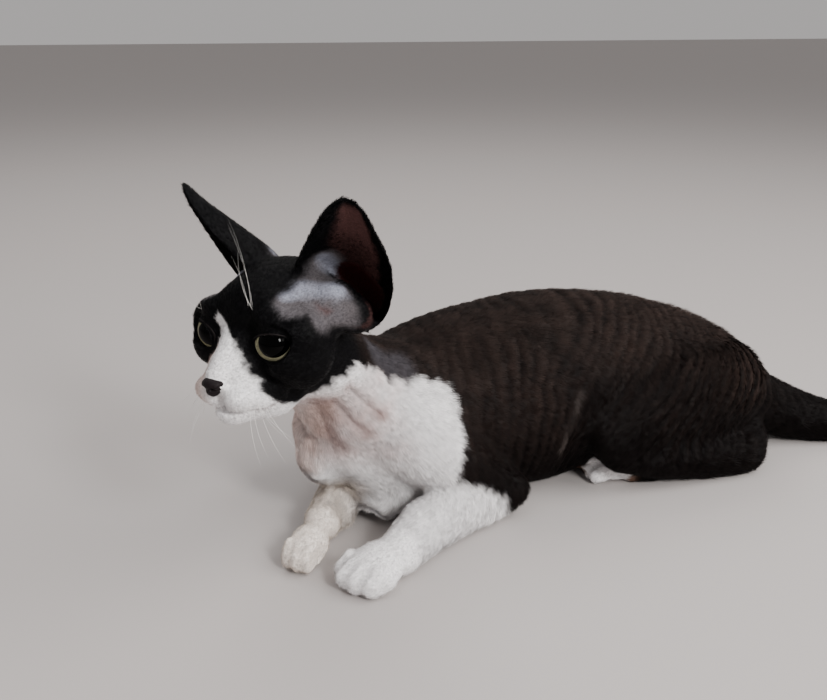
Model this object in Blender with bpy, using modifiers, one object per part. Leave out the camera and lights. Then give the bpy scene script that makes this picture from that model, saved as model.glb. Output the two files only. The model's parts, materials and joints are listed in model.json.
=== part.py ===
"""A life-size Devon Rex cat, lying on its chest with its head up and turned to its left.

Run it with: blender --background --python part.py

Sizes are in millimetres and become metres where a mesh is made. The cat looks towards -X, its left
side is -Y, and the floor is z = 0. Everything is laid out around a point under the loins, and is moved
at the end so that the origin is the middle of the flat on which the belly rests.

Ovals and lofted limbs overlap over the posture. A voxel remesh joins them into one skin, and smoothing
melts them together. The skin is thinned, cut flat on the floor, and parted into head, neck, torso, legs
and tail by narrow cuts.
"""

import math

import bmesh
import bpy
import numpy as np
from mathutils import Matrix, Vector
from mathutils.bvhtree import BVHTree

OBJECT_NAME = "devon_rex_cat"

MM = 0.001
GAP = 0.3
GRAIN = 1.4
MELTING = 60
REGION_GRAIN = 7.0
BELLY_FLAT = (-70, 5, 0)
BODY_FACES, HEAD_FACES = 4700, 2900

# Trunk from breast to rump: x, y, underside, back, half width.
TRUNK = (
    (-224, -24, 28, 74, 13),
    (-219, -22, 20, 90, 25),
    (-209, -18, 16, 104, 34),
    (-192, -13, 11, 119, 42),
    (-165, -7, 5, 126, 47),
    (-130, 1, 1, 134, 50),
    (-95, 4, -2, 139, 51),
    (-60, 6, -3, 142, 52),
    (-20, 7, 0, 139, 52),
    (20, 6, 3, 131, 51),
    (60, 3, 3, 117, 50),
    (95, 0, 1, 100, 46),
    (125, -3, 6, 79, 38),
    (145, -5, 14, 62, 27),
    (158, -7, 24, 48, 11),
)

# Neck from between the shoulders into the skull: x, y, z, half width, half height.
NECK = (
    (-140, -6, 88, 40, 34),
    (-178, -19, 92, 38, 38),
    (-205, -34, 105, 34, 36),
    (-225, -53, 129, 30, 29),
    (-243, -73, 149, 29, 27),
    (-255, -84, 160, 27, 25),
)

# Tail lying on the floor: x, y, z, half width, half height.
TAIL = (
    (122, -6, 44, 27, 26),
    (150, -11, 32, 22, 24),
    (176, -19, 22, 19, 21),
    (209, -31, 15, 16.5, 17),
    (255, -42, 13, 14, 14.5),
    (305, -42, 11.2, 12, 12.2),
    (350, -27, 9, 9.8, 9.8),
    (384, 1, 7.4, 7.7, 7.7),
    (403, 30, 5.4, 5.7, 5.7),
)

# Legs: x, y, z, half width, half height along each limb.
LEFT_UPPER_ARM = ((-184, -38, 90, 21, 26), (-168, -46, 72, 24, 27), (-138, -48, 44, 23, 25), (-112, -45, 22, 18, 19))
LEFT_FOREARM = ((-108, -45, 18, 17, 18), (-134, -57, 17, 17, 18), (-166, -74, 15, 15.5, 16), (-192, -89, 13, 14, 14))
RIGHT_UPPER_ARM = ((-208, 14, 82, 20, 26), (-202, 30, 66, 22, 26), (-190, 42, 42, 21, 24), (-178, 47, 22, 18, 19))
RIGHT_FOREARM = ((-174, 46, 18, 16, 18), (-193, 15, 17, 15, 17), (-213, -15, 15, 13.5, 14.5), (-227, -37, 13, 12.5, 13.5))
THIGH = ((100, 26, 60, 28, 38), (66, 34, 58, 27, 46), (30, 40, 52, 23, 42), (2, 45, 46, 18, 32), (-16, 46, 42, 13, 21))
SHANK = ((-6, 47, 34, 14, 18), (36, 49, 24, 15, 19), (78, 51, 17, 15, 18), (106, 50, 15, 16, 16), (122, 40, 16, 15, 18))
HIND_FOOT = ((116, 44, 10, 10, 10), (70, 42, 8, 11, 10), (38, 38, 8, 12, 10), (14, 34, 8, 13, 10))
HIND_FOOT_REACH = ((48, 40, 6, 15, 15), (16, 34, 6, 16, 15), (-26, 22, 5, 16, 13))

# Paws: middle of the palm, heading in degrees from -X towards the left, width, length, height.
FORE_PAWS = ((-207, -93, 12.5, 23, 34, 44, 26), (-240, -57, 12.5, 58, 29, 40, 25))
HIND_PAWS = ((1, -28, 9, -20, 31, 38, 20), (1, 28, 9, 20, 31, 38, 20))

# Head: the middle between the eyes and how the face is turned, in degrees.
EYES_MIDDLE = (-276, -100, 174)
HEAD_YAW, HEAD_PITCH, HEAD_ROLL = 36.0, 3.0, 2.0
HEAD_SCALE = 1.03

# In the head's own millimetres: x towards the nose, y to the cat's left, z up.
EYE = (0.8, 20.7, -0.6)
EYE_RADIUS = 10.4
EYE_LOOK = (0.93, 0.33, 0.12)
EYE_OPENING = (10.2, 9.0)
EYE_SLANT = 0.16
EAR_INNER_EDGE = (
    (-24, 10, 12),
    (-20, 16, 24),
    (-17, 22, 32),
    (-13, 34, 46),
    (-12.5, 45, 59.5),
    (-14.5, 50.5, 65),
    (-17.5, 54.5, 67.5),
)
EAR_OUTER_EDGE = (
    (-46, 36, -14),
    (-48, 47, -4),
    (-47, 54, 8),
    (-40, 61, 28),
    (-29, 61.5, 48),
    (-23, 60.5, 59.5),
    (-19, 56.5, 66.5),
)
EAR_DEPTH = (16, 21, 23, 17, 8.5, 4.5, 1)
EAR_FACING = (0.74, 0.62, -0.1)
EAR_THICKNESS = 1.8
NOSTRIL = ((28.2, 5.6, -17.8), (30.0, 4.5, -18.3), (31.4, 3.2, -18.9), (32.2, 2.4, -18.9))
MOUTH = ((29, 0, -25), (29, 0, -31), (27, 5, -33.5), (22, 11, -35), (14, 16, -34), (4, 20, -31))

# Cuts between neighbours: a point on the plane, the side that is taken, and a ball that bounds it.
TAIL_TIP_CUT = ((335, -29, 9), (0.95, 0.3, 0), (380, 0, 9), 62)
TAIL_MIDDLE_CUT = ((243, -33, 12), (1, -0.12, 0), (290, -36, 12), 75)
TAIL_BASE_CUT = ((163, -10, 30), (0.9, -0.22, -0.35), (205, -24, 15), 62)
NECK_CUT = ((-192, -28, 106), (-0.62, -0.46, 0.63), (-225, -55, 142), 100)
FORE_PAW_CUTS = (
    ((-190, -87, 13), (-0.9, -0.43, 0), (-216, -99, 10), 37),
    ((-226, -35, 13), (-0.5, -0.87, 0), (-244, -66, 10), 38),
)

COLOURS = {
    "black_coat": (0.018, 0.014, 0.012, 1),
    "white_coat": (0.78, 0.70, 0.62, 1),
    "bare_skin": (0.16, 0.09, 0.08, 1),
    "nose_leather": (0.012, 0.010, 0.010, 1),
    "eye": (0.10, 0.12, 0.04, 1),
}

SIDES = (("left", -1), ("right", 1))


def oval(bm, place, radii, axes=Matrix.Identity(3), segments=28):
    """A turned oval ball; the rows of axes are its three directions."""
    turn = Matrix(axes).transposed().to_4x4()
    matrix = Matrix.Scale(MM, 4) @ Matrix.Translation(place) @ turn @ Matrix.Diagonal((*radii, 1))
    bmesh.ops.create_uvsphere(bm, u_segments=segments, v_segments=segments // 2, radius=1, matrix=matrix)


def smooth_path(points, count):
    """Rows along a Catmull-Rom curve through the given ones."""
    rows = np.array(points, float)
    rows = np.vstack([2 * rows[0] - rows[1], rows, 2 * rows[-1] - rows[-2]])
    spans = len(rows) - 3
    made = []
    for t in np.linspace(0, spans, count):
        i = min(int(t), spans - 1)
        s = t - i
        p0, p1, p2, p3 = rows[i : i + 4]
        near = 2 * p1 + (p2 - p0) * s
        far = (2 * p0 - 5 * p1 + 4 * p2 - p3) * s**2 + (3 * p1 - p0 - 3 * p2 + p3) * s**3
        made.append(0.5 * (near + far))
    return np.array(made)


def loft(bm, stations, fullness=2.0, grow=0.0, sides=28):
    """A closed tube through oval rings of unlike size, with rounded ends."""
    length = sum(np.linalg.norm(np.subtract(b[:3], a[:3])) for a, b in zip(stations, stations[1:]))
    rows = smooth_path(stations, max(6, int(length / 6)))
    along = np.gradient(rows[:, :3], axis=0)
    along /= np.linalg.norm(along, axis=1)[:, None]
    angles = np.linspace(0, 2 * math.pi, sides, endpoint=False)
    wide = np.sign(np.cos(angles)) * np.abs(np.cos(angles)) ** (2 / fullness)
    high = np.sign(np.sin(angles)) * np.abs(np.sin(angles)) ** (2 / fullness)
    caps = [(math.sin(a), math.cos(a)) for a in np.radians((75, 50, 25))]
    rings = [(0, -ahead, shrink) for ahead, shrink in caps]
    rings += [(k, 0, 1) for k in range(len(rows))]
    rings += [(len(rows) - 1, ahead, shrink) for ahead, shrink in reversed(caps)]
    loops = []
    for k, ahead, shrink in rings:
        side = np.cross((0, 0, 1), along[k])
        side /= np.linalg.norm(side)
        top = np.cross(along[k], side)
        half = rows[k, 3:5] + grow
        centre = rows[k, :3] + along[k] * ahead * min(half)
        ring = centre + (np.outer(wide, side) * half[0] + np.outer(high, top) * half[1]) * shrink
        loops.append([bm.verts.new(Vector(p) * MM) for p in ring])
    for one, two in zip(loops, loops[1:]):
        for k in range(sides):
            j = (k + 1) % sides
            bm.faces.new((one[k], two[k], two[j], one[j]))
    bm.faces.new(loops[0])
    bm.faces.new(loops[-1][::-1])


def mirrored(rows, side):
    return [(x, y * side, *rest) for x, y, *rest in rows]


def head_frame():
    """The head's own axes (towards the nose, its left, up) as rows in the world."""
    facing = Matrix.Rotation(math.radians(HEAD_YAW), 3, "Z") @ Matrix.Rotation(math.pi, 3, "Z")
    tilt = Matrix.Rotation(math.radians(HEAD_PITCH), 3, "Y") @ Matrix.Rotation(math.radians(HEAD_ROLL), 3, "X")
    return np.array((facing @ tilt).transposed())


HEAD_AXES = head_frame()


def head_point(place):
    """A point of the head's own frame, in world millimetres."""
    return np.array(EYES_MIDDLE) + HEAD_SCALE * np.array(place, float) @ HEAD_AXES


def head_oval(bm, place, radii, yaw=0.0, segments=28):
    turn = np.array(Matrix.Rotation(math.radians(yaw), 3, "Z"))
    oval(bm, head_point(place), np.array(radii) * HEAD_SCALE, turn.T @ HEAD_AXES, segments)


def paw(bm, spec, toes=4):
    """A palm with its toes, each toe a knuckle and a tip."""
    x, y, z, heading, width, length, height = spec
    turn = math.radians(heading)
    forward = np.array((-math.cos(turn), -math.sin(turn), 0))
    aside = np.array((math.sin(turn), -math.cos(turn), 0))
    axes = (forward, aside, (0, 0, 1))
    middle = np.array((x, y, z))
    oval(bm, middle, (length * 0.46, width * 0.45, height * 0.5), axes)
    toe = width / toes * 0.62
    for k in range(toes):
        place = (k - (toes - 1) / 2) / ((toes - 1) / 2)
        spread = place * (width / 2 - toe * 0.85)
        ahead = length * (0.34 - 0.09 * place * place)
        knuckle = middle + aside * spread + forward * ahead + (0, 0, -height * 0.03)
        tip = knuckle + forward * toe * 0.95 + (0, 0, -height * 0.11)
        oval(bm, knuckle, (toe * 1.35, toe, height * 0.40), axes, 20)
        oval(bm, tip, (toe * 1.15, toe, height * 0.35), axes, 20)


def head(bm):
    """Skull, cheeks, brow, muzzle and jaw."""
    head_oval(bm, (-27, 0, 4), (34.5, 30.5, 27.5))
    head_oval(bm, (-9, 0, 9), (20.5, 24.5, 18.5))
    head_oval(bm, (-10, 0, -12), (26, 28.5, 21.5))
    head_oval(bm, (-1, 0, -34), (25.5, 18.5, 12))
    head_oval(bm, (-18, 0, -29), (22, 21.5, 15.5))
    head_oval(bm, (9, 0, -17), (17.5, 16.5, 15.5))
    for side in (1, -1):
        head_oval(bm, (-12, 25 * side, -12), (20.5, 15, 17.5), yaw=14 * side)
        head_oval(bm, (-6, 26.5 * side, 0), (15.5, 14, 15.5), yaw=20 * side)
        head_oval(bm, (-34, 28 * side, 7), (15.5, 12.5, 15))
        head_oval(bm, (-42, 36 * side, 0), (10, 10, 12.5))
        head_oval(bm, (EYE[0] - 0.5, EYE[1] * side, EYE[2]), (12.6, 13, 12.8))
        head_oval(bm, (0, 24 * side, -9), (14, 12.8, 14), yaw=24 * side)
        head_oval(bm, (2, 17 * side, 11), (9.5, 11.5, 6.5))
        head_oval(bm, (17.5, 7.8 * side, -26), (11.6, 10, 9.2))
        head_oval(bm, (8, 13.5 * side, -27), (13.5, 8.6, 9.6))
    for step in np.linspace(0, 1, 6):
        head_oval(bm, (5 + 19 * step, 0, 3 - 18 * step), (7.6, 9 - 2.2 * step, 7), segments=20)
    head_oval(bm, (17, 0, -36.5), (10.5, 11, 8))


def skin_mesh():
    """All the forms melted into one skin: remeshed, then smoothed most where the forms are large."""
    bm = bmesh.new()
    trunk = [(x, y, (low + high) / 2, half, (high - low) / 2) for x, y, low, high, half in TRUNK]
    loft(bm, trunk, fullness=2.15, grow=0.6, sides=44)
    loft(bm, NECK, grow=0.8)
    loft(bm, TAIL, grow=0.6)
    for rows in (LEFT_UPPER_ARM, RIGHT_UPPER_ARM, LEFT_FOREARM, RIGHT_FOREARM):
        loft(bm, rows, grow=0.8)
    for _, side in SIDES:
        for rows in (THIGH, SHANK, HIND_FOOT):
            loft(bm, mirrored(rows, side), grow=0.8)
    for spec in FORE_PAWS + HIND_PAWS:
        paw(bm, spec)
    head(bm)
    forms = bpy.data.meshes.new("forms")
    bm.to_mesh(forms)
    bm.free()
    skin = after_modifier(forms, "REMESH", mode="VOXEL", voxel_size=GRAIN * MM)
    points = points_of(skin) / MM
    weights = np.ones(len(points))
    fine = [(head_point((15, 0, -18)), 25, 0.16)] + [(spec[:3], 26, 0.10) for spec in FORE_PAWS + HIND_PAWS]
    for place, radius, least in fine:
        away = np.linalg.norm(points - np.array(place), axis=1)
        weights = np.minimum(weights, np.clip(least + (away - radius) / 30, least, 1))
    return after_modifier(skin, "SMOOTH", weights, factor=0.5, iterations=MELTING, vertex_group="weight")


def after_modifier(mesh, kind, weights=None, **settings):
    """The mesh as one modifier leaves it; weights fill a vertex group named weight."""
    obj = bpy.data.objects.new("work", mesh)
    bpy.context.scene.collection.objects.link(obj)
    if weights is not None:
        group = obj.vertex_groups.new(name="weight")
        levels = np.round(weights, 2)
        for level in np.unique(levels):
            group.add(np.flatnonzero(levels == level).tolist(), float(level), "REPLACE")
    modifier = obj.modifiers.new("one", kind)
    for key, value in settings.items():
        setattr(modifier, key, value)
    bpy.context.view_layer.update()
    graph = bpy.context.evaluated_depsgraph_get()
    made = bpy.data.meshes.new_from_object(obj.evaluated_get(graph))
    bpy.data.objects.remove(obj)
    return made


def thinned(mesh, faces):
    """The mesh with about the number of triangles asked for."""
    now = sum(len(p.vertices) - 2 for p in mesh.polygons)
    return after_modifier(mesh, "DECIMATE", ratio=min(1.0, faces / now))


def boolean(mesh, cutter, operation, solver="EXACT"):
    other = bpy.data.objects.new("cutter", cutter)
    bpy.context.scene.collection.objects.link(other)
    made = after_modifier(mesh, "BOOLEAN", solver=solver, operation=operation, object=other)
    bpy.data.objects.remove(other)
    return made


def points_of(mesh):
    points = np.empty(len(mesh.vertices) * 3)
    mesh.vertices.foreach_get("co", points)
    return points.reshape(-1, 3)


def grown(mesh, distance):
    """A copy with every vertex moved out along its normal."""
    copy = mesh.copy()
    points = points_of(copy)
    normals = np.empty_like(points)
    copy.vertex_normals.foreach_get("vector", normals.ravel())
    copy.vertices.foreach_set("co", (points + normals * distance * MM).ravel())
    copy.update()
    return copy


def largest_piece(mesh):
    """The mesh without the crumbs that a cut leaves, as triangles."""
    bm = bmesh.new()
    bm.from_mesh(mesh)
    bmesh.ops.triangulate(bm, faces=bm.faces)
    unseen = set(bm.verts)
    pieces = []
    while unseen:
        stack = [unseen.pop()]
        piece = set(stack)
        while stack:
            for edge in stack.pop().link_edges:
                for vert in edge.verts:
                    if vert not in piece:
                        piece.add(vert)
                        stack.append(vert)
        unseen -= piece
        pieces.append(piece)
    pieces.sort(key=len)
    if len(pieces) > 1:
        bmesh.ops.delete(bm, geom=[v for piece in pieces[:-1] for v in piece], context="VERTS")
    made = bpy.data.meshes.new("piece")
    bm.to_mesh(made)
    bm.free()
    return made


def ball_mesh(cut, grow):
    """A ball, cut by a plane so that only the side the arrow points to is left."""
    point, arrow, centre, radius = cut
    arrow = Vector(arrow).normalized()
    bm = bmesh.new()
    matrix = Matrix.Scale(MM, 4) @ Matrix.Translation(centre)
    bmesh.ops.create_icosphere(bm, subdivisions=3, radius=radius + grow, matrix=matrix)
    plane = (Vector(point) - arrow * grow) * MM
    everything = bm.verts[:] + bm.edges[:] + bm.faces[:]
    made = bmesh.ops.bisect_plane(bm, geom=everything, plane_co=plane, plane_no=arrow, clear_inner=True)
    rim = [e for e in made["geom_cut"] if isinstance(e, bmesh.types.BMEdge)]
    bmesh.ops.holes_fill(bm, edges=rim)
    bmesh.ops.recalc_face_normals(bm, faces=bm.faces)
    ball = bpy.data.meshes.new("ball")
    bm.to_mesh(ball)
    bm.free()
    return ball


def cut_by_ball(mesh, cut, solver="EXACT"):
    """What is inside the cut ball, and what is left, with a narrow gap between."""
    inside = boolean(mesh, ball_mesh(cut, -GAP / 2), "INTERSECT", solver)
    rest = boolean(mesh, ball_mesh(cut, GAP / 2), "DIFFERENCE", solver)
    return largest_piece(inside), largest_piece(rest)


def cut_by_limbs(mesh, *limbs):
    """The same with a region a little larger than some limbs, each its stations and how much they grow."""
    bm = bmesh.new()
    for stations, grow in limbs:
        loft(bm, stations, grow=grow)
    forms = bpy.data.meshes.new("region")
    bm.to_mesh(forms)
    bm.free()
    region = after_modifier(forms, "REMESH", mode="VOXEL", voxel_size=REGION_GRAIN * MM)
    region = thinned(after_modifier(region, "SMOOTH", factor=0.5, iterations=4), 200)
    inside = boolean(mesh, grown(region, -GAP / 2), "INTERSECT")
    rest = boolean(mesh, grown(region, GAP / 2), "DIFFERENCE")
    return largest_piece(inside), largest_piece(rest)


def box(low, high):
    bm = bmesh.new()
    size = [b - a for a, b in zip(low, high)]
    middle = [(a + b) / 2 for a, b in zip(low, high)]
    matrix = Matrix.Translation(Vector(middle) * MM) @ Matrix.Diagonal((*(Vector(size) * MM), 1))
    bmesh.ops.create_cube(bm, size=1, matrix=matrix)
    made = bpy.data.meshes.new("box")
    bm.to_mesh(made)
    bm.free()
    return made


def head_and_body():
    """The head without ears, eyes and leather, and the body cut flat on the floor, both thinned."""
    back_of_head = (head_point((-44, 0, -12)), (HEAD_AXES.T @ (0.85, 0, 0.52)), head_point((-5, 0, 0)), 76)
    skull, body = cut_by_ball(skin_mesh(), back_of_head, "MANIFOLD")
    below = box((-400, -200, -60), (500, 200, 0))
    return thinned(skull, HEAD_FACES), boolean(thinned(body, BODY_FACES), below, "DIFFERENCE")


def tube(path, radius):
    """A closed round tube along world points in millimetres."""
    curve = bpy.data.curves.new("tube", "CURVE")
    curve.dimensions = "3D"
    curve.bevel_depth = radius * MM
    curve.bevel_resolution = 1
    curve.use_fill_caps = True
    spline = curve.splines.new("POLY")
    spline.points.add(len(path) - 1)
    for point, place in zip(spline.points, path):
        point.co = (*(Vector(place) * MM), 1)
    obj = bpy.data.objects.new("tube", curve)
    bpy.context.scene.collection.objects.link(obj)
    graph = bpy.context.evaluated_depsgraph_get()
    mesh = bpy.data.meshes.new_from_object(obj.evaluated_get(graph))
    bpy.data.objects.remove(obj)
    bpy.data.curves.remove(curve)
    return tidied(mesh)


def mouth_cutter(head_mesh, side):
    """A thin tube along the line of the mouth, laid on the head's own surface."""
    tree = BVHTree.FromPolygons(
        [v.co for v in head_mesh.vertices], [tuple(p.vertices) for p in head_mesh.polygons]
    )
    path = []
    start = 1 if side < 0 else 0
    for x, y, z in smooth_path(MOUTH[start:], 12):
        inner = Vector(head_point((x * 0.35, 0, z * 0.9)) * MM)
        outer = Vector(head_point((x, y * -side, z)) * MM)
        towards = (outer - inner).normalized()
        hit = tree.ray_cast(inner + towards * 0.08, -towards)[0]
        path.append(np.array(hit) / MM)
    return tube(path, 0.8)


def eye_mesh(side, grow):
    """An eyeball with its cornea, looking a little outwards."""
    look = Vector((EYE_LOOK[0], EYE_LOOK[1] * -side, EYE_LOOK[2])) @ Matrix(HEAD_AXES)
    bm = bmesh.new()
    bmesh.ops.create_uvsphere(bm, u_segments=18, v_segments=12, radius=1)
    for vert in bm.verts:
        angle = math.acos(max(-1.0, min(1.0, vert.co.z)))
        vert.co *= EYE_RADIUS * HEAD_SCALE + 0.8 * math.exp(-((angle / 0.6) ** 2)) + grow
    turn = look.to_track_quat("Z", "Y").to_matrix().to_4x4()
    place = Vector(head_point((EYE[0], EYE[1] * -side, EYE[2])))
    bmesh.ops.transform(bm, matrix=Matrix.Scale(MM, 4) @ Matrix.Translation(place) @ turn, verts=bm.verts)
    made = bpy.data.meshes.new("eye")
    bm.to_mesh(made)
    bm.free()
    return made


def lid_cutter(side):
    """A widening prism through the lids with the outline of the open eye."""
    look = np.array(Vector((EYE_LOOK[0], EYE_LOOK[1] * -side, EYE_LOOK[2])).normalized())
    across = np.cross((0, 0, 1), look)
    across /= np.linalg.norm(across)
    top = np.cross(look, across)
    outward = -side * (1 if across[1] > 0 else -1)
    centre = np.array((EYE[0], EYE[1] * -side, EYE[2]))
    bm = bmesh.new()
    bmesh.ops.create_cone(bm, cap_ends=True, segments=28, radius1=0.8, radius2=1.25, depth=1)
    for vert in bm.verts:
        depth, size = (20, 1.25) if vert.co.z > 0 else (3, 0.8)
        wide = vert.co.x / size * EYE_OPENING[0]
        high = vert.co.y / size * abs(vert.co.y / size) ** 0.2 * EYE_OPENING[1]
        high += EYE_SLANT * wide * outward
        vert.co = Vector(head_point(centre + look * depth + (across * wide + top * high) * size)) * MM
    mesh = bpy.data.meshes.new("opening")
    bm.to_mesh(mesh)
    bm.free()
    return tidied(mesh)


def tidied(mesh):
    """The mesh welded, with its faces turned outwards."""
    bm = bmesh.new()
    bm.from_mesh(mesh)
    bmesh.ops.remove_doubles(bm, verts=bm.verts, dist=0.00001)
    bmesh.ops.recalc_face_normals(bm, faces=bm.faces)
    bm.to_mesh(mesh)
    bm.free()
    return mesh


def nose_mesh():
    """The leather: a wide pad over a narrow foot, with wings, and a nostril sunk in each."""
    bm = bmesh.new()
    head_oval(bm, (28.4, 0, -17.0), (4.2, 5.4, 3.7), segments=20)
    head_oval(bm, (27.8, 0, -20.8), (3.8, 2.8, 3.4), segments=16)
    for side in (1, -1):
        head_oval(bm, (27.0, 4.1 * side, -18.0), (4.0, 2.8, 3.1), segments=16)
    forms = bpy.data.meshes.new("nose")
    bm.to_mesh(forms)
    bm.free()
    leather = after_modifier(forms, "REMESH", mode="VOXEL", voxel_size=0.5 * MM)
    leather = thinned(after_modifier(leather, "SMOOTH", factor=0.5, iterations=3), 260)
    for side in (1, -1):
        path = [head_point((x, y * side, z)) for x, y, z in NOSTRIL]
        leather = boolean(leather, tube(path, 0.95), "DIFFERENCE")
    return largest_piece(leather)


def ear_mesh(side):
    """A grid bent into a cup between an inner and an outer edge, then thickened backwards."""
    rows, columns = 13, 11
    inner = smooth_path(EAR_INNER_EDGE, rows)
    outer = smooth_path(EAR_OUTER_EDGE, rows)
    depth = smooth_path([(d,) for d in EAR_DEPTH], rows)[:, 0]
    facing = np.array(EAR_FACING) / np.linalg.norm(EAR_FACING)
    bm = bmesh.new()
    bmesh.ops.create_grid(bm, x_segments=columns - 1, y_segments=rows - 1, size=1)
    for vert in bm.verts:
        i = round((vert.co.y + 1) / 2 * (rows - 1))
        angle = math.pi / 2 * vert.co.x
        middle = (inner[i] + outer[i]) / 2
        half = (outer[i] - inner[i]) / 2
        hollow = facing * depth[i] * max(0.0, math.cos(angle)) ** 0.8
        place = (middle + half * math.sin(angle) - hollow) * (1, -side, 1)
        vert.co = Vector(head_point(place)) * MM
    bmesh.ops.recalc_face_normals(bm, faces=bm.faces)
    towards = Vector((facing * (1, -side, 1)) @ HEAD_AXES)
    if sum(face.normal.dot(towards) for face in bm.faces) > 0:
        bmesh.ops.reverse_faces(bm, faces=bm.faces)
    cup = bpy.data.meshes.new("cup")
    bm.to_mesh(cup)
    bm.free()
    return after_modifier(cup, "SOLIDIFY", thickness=EAR_THICKNESS * MM, offset=1)


def add_node(name, mesh, colour):
    """One part: moved to the origin's place, shaded smooth, with its own material."""
    points = points_of(mesh) - np.array(BELLY_FLAT) * MM
    mesh.vertices.foreach_set("co", points.ravel())
    for polygon in mesh.polygons:
        polygon.use_smooth = True
    mesh.name = name
    mesh.materials.clear()
    material = bpy.data.materials.new(name)
    material.use_nodes = True
    shader = material.node_tree.nodes["Principled BSDF"]
    shader.inputs["Base Color"].default_value = COLOURS[colour]
    shader.inputs["Roughness"].default_value = 0.3 if colour in ("eye", "nose_leather") else 0.8
    material.diffuse_color = COLOURS[colour]
    mesh.materials.append(material)
    bpy.data.collections[OBJECT_NAME].objects.link(bpy.data.objects.new(name, mesh))


def clear_scene():
    for obj in list(bpy.data.objects):
        bpy.data.objects.remove(obj)
    bpy.context.scene.collection.children.link(bpy.data.collections.new(OBJECT_NAME))


def main():
    clear_scene()
    skull, body = head_and_body()
    for name, cut in (("tail_tip", TAIL_TIP_CUT), ("tail_middle", TAIL_MIDDLE_CUT), ("tail_base", TAIL_BASE_CUT)):
        piece, body = cut_by_ball(body, cut)
        add_node(name, piece, "black_coat")
    neck, body = cut_by_ball(body, NECK_CUT)
    for (name, _), cut in zip(SIDES, FORE_PAW_CUTS):
        piece, body = cut_by_ball(body, cut)
        add_node(f"forepaw_{name}", piece, "white_coat")
    for name, side in SIDES:
        piece, body = cut_by_limbs(body, (mirrored(HIND_FOOT_REACH, side), 0))
        add_node(f"hindfoot_{name}", piece, "white_coat")
    arms = ((LEFT_UPPER_ARM, LEFT_FOREARM), (RIGHT_UPPER_ARM, RIGHT_FOREARM))
    for (name, _), (upper, fore) in zip(SIDES, arms):
        piece, body = cut_by_limbs(body, (upper, 5), (fore, 7))
        add_node(f"foreleg_{name}", piece, "white_coat")
    for name, side in SIDES:
        piece, body = cut_by_limbs(body, (mirrored(THIGH, side), 6), (mirrored(SHANK, side), 8))
        add_node(f"hindleg_{name}", piece, "black_coat")
    add_node("torso", body, "black_coat")
    for _, side in SIDES:
        skull = boolean(skull, mouth_cutter(skull, side), "DIFFERENCE")
    nose = nose_mesh()
    skull = boolean(skull, grown(nose, GAP), "DIFFERENCE")
    seats = (grown(skull, GAP), grown(neck, GAP))
    for name, side in SIDES:
        ear = ear_mesh(side)
        for seat in seats:
            ear = largest_piece(boolean(ear, seat, "DIFFERENCE"))
        add_node(f"ear_{name}", ear, "bare_skin")
    for name, side in SIDES:
        skull = boolean(skull, eye_mesh(side, GAP), "DIFFERENCE")
        skull = boolean(skull, lid_cutter(side), "DIFFERENCE")
        add_node(f"eye_{name}", eye_mesh(side, 0), "eye")
    add_node("head", largest_piece(skull), "black_coat")
    add_node("neck", neck, "white_coat")
    add_node("nose", nose, "nose_leather")


main()
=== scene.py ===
# %% [markdown]
# # A Devon Rex cat lying with its head up
#
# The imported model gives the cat's form as nineteen plain solids. This lesson dresses them: one soft
# skin takes the place of the flesh, a short wavy coat of small tufts grows on it, and the eyes, nose
# leather and whiskers are made as pieces of their own. Sizes are in metres unless a name says mm.

import json
import math

import bmesh
import bpy
import numpy as np
from mathutils import Matrix, Vector
from mathutils.bvhtree import BVHTree

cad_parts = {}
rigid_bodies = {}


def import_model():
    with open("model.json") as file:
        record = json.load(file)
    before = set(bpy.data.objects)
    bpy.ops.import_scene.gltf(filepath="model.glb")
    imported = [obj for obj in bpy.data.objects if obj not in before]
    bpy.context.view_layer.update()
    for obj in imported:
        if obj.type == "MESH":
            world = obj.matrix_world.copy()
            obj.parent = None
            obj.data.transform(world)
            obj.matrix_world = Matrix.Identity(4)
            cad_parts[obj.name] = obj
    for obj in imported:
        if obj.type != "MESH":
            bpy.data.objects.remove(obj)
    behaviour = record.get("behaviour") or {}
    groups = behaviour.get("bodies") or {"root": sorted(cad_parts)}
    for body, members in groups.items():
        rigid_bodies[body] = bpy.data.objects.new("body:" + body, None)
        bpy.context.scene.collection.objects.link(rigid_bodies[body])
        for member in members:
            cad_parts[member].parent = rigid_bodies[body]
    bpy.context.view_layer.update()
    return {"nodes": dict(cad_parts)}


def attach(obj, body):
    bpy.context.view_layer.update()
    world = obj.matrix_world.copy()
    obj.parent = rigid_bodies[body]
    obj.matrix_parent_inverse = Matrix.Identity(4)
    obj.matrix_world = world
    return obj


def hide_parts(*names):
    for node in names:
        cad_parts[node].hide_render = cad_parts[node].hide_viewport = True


for thing in list(bpy.data.objects):
    bpy.data.objects.remove(thing)
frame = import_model()
MM = 0.001

# %% [markdown]
# ## Where the head is
#
# The face is easiest to describe in the head's own millimetres: x towards the nose, y to the cat's
# left, z up, with zero midway between the eyes. Two helpers go from there to the world and back.

# %% The head's own frame
HEAD_MIDDLE = np.array((-206.0, -105.0, 174.0))
HEAD_YAW, HEAD_PITCH, HEAD_ROLL = 36.0, 3.0, 2.0
HEAD_SCALE = 1.03
SIDES = (("left", 1), ("right", -1))


def head_axes():
    """Towards the nose, to the cat's left, and up, as rows in the world."""
    facing = Matrix.Rotation(math.radians(HEAD_YAW), 3, "Z") @ Matrix.Rotation(math.pi, 3, "Z")
    pitch = Matrix.Rotation(math.radians(HEAD_PITCH), 3, "Y")
    roll = Matrix.Rotation(math.radians(HEAD_ROLL), 3, "X")
    return np.array((facing @ pitch @ roll).transposed())


HEAD_AXES = head_axes()


def head_place(place):
    """A point given in head millimetres, in world metres."""
    return (HEAD_MIDDLE + HEAD_SCALE * np.asarray(place, float) @ HEAD_AXES) * MM


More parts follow.
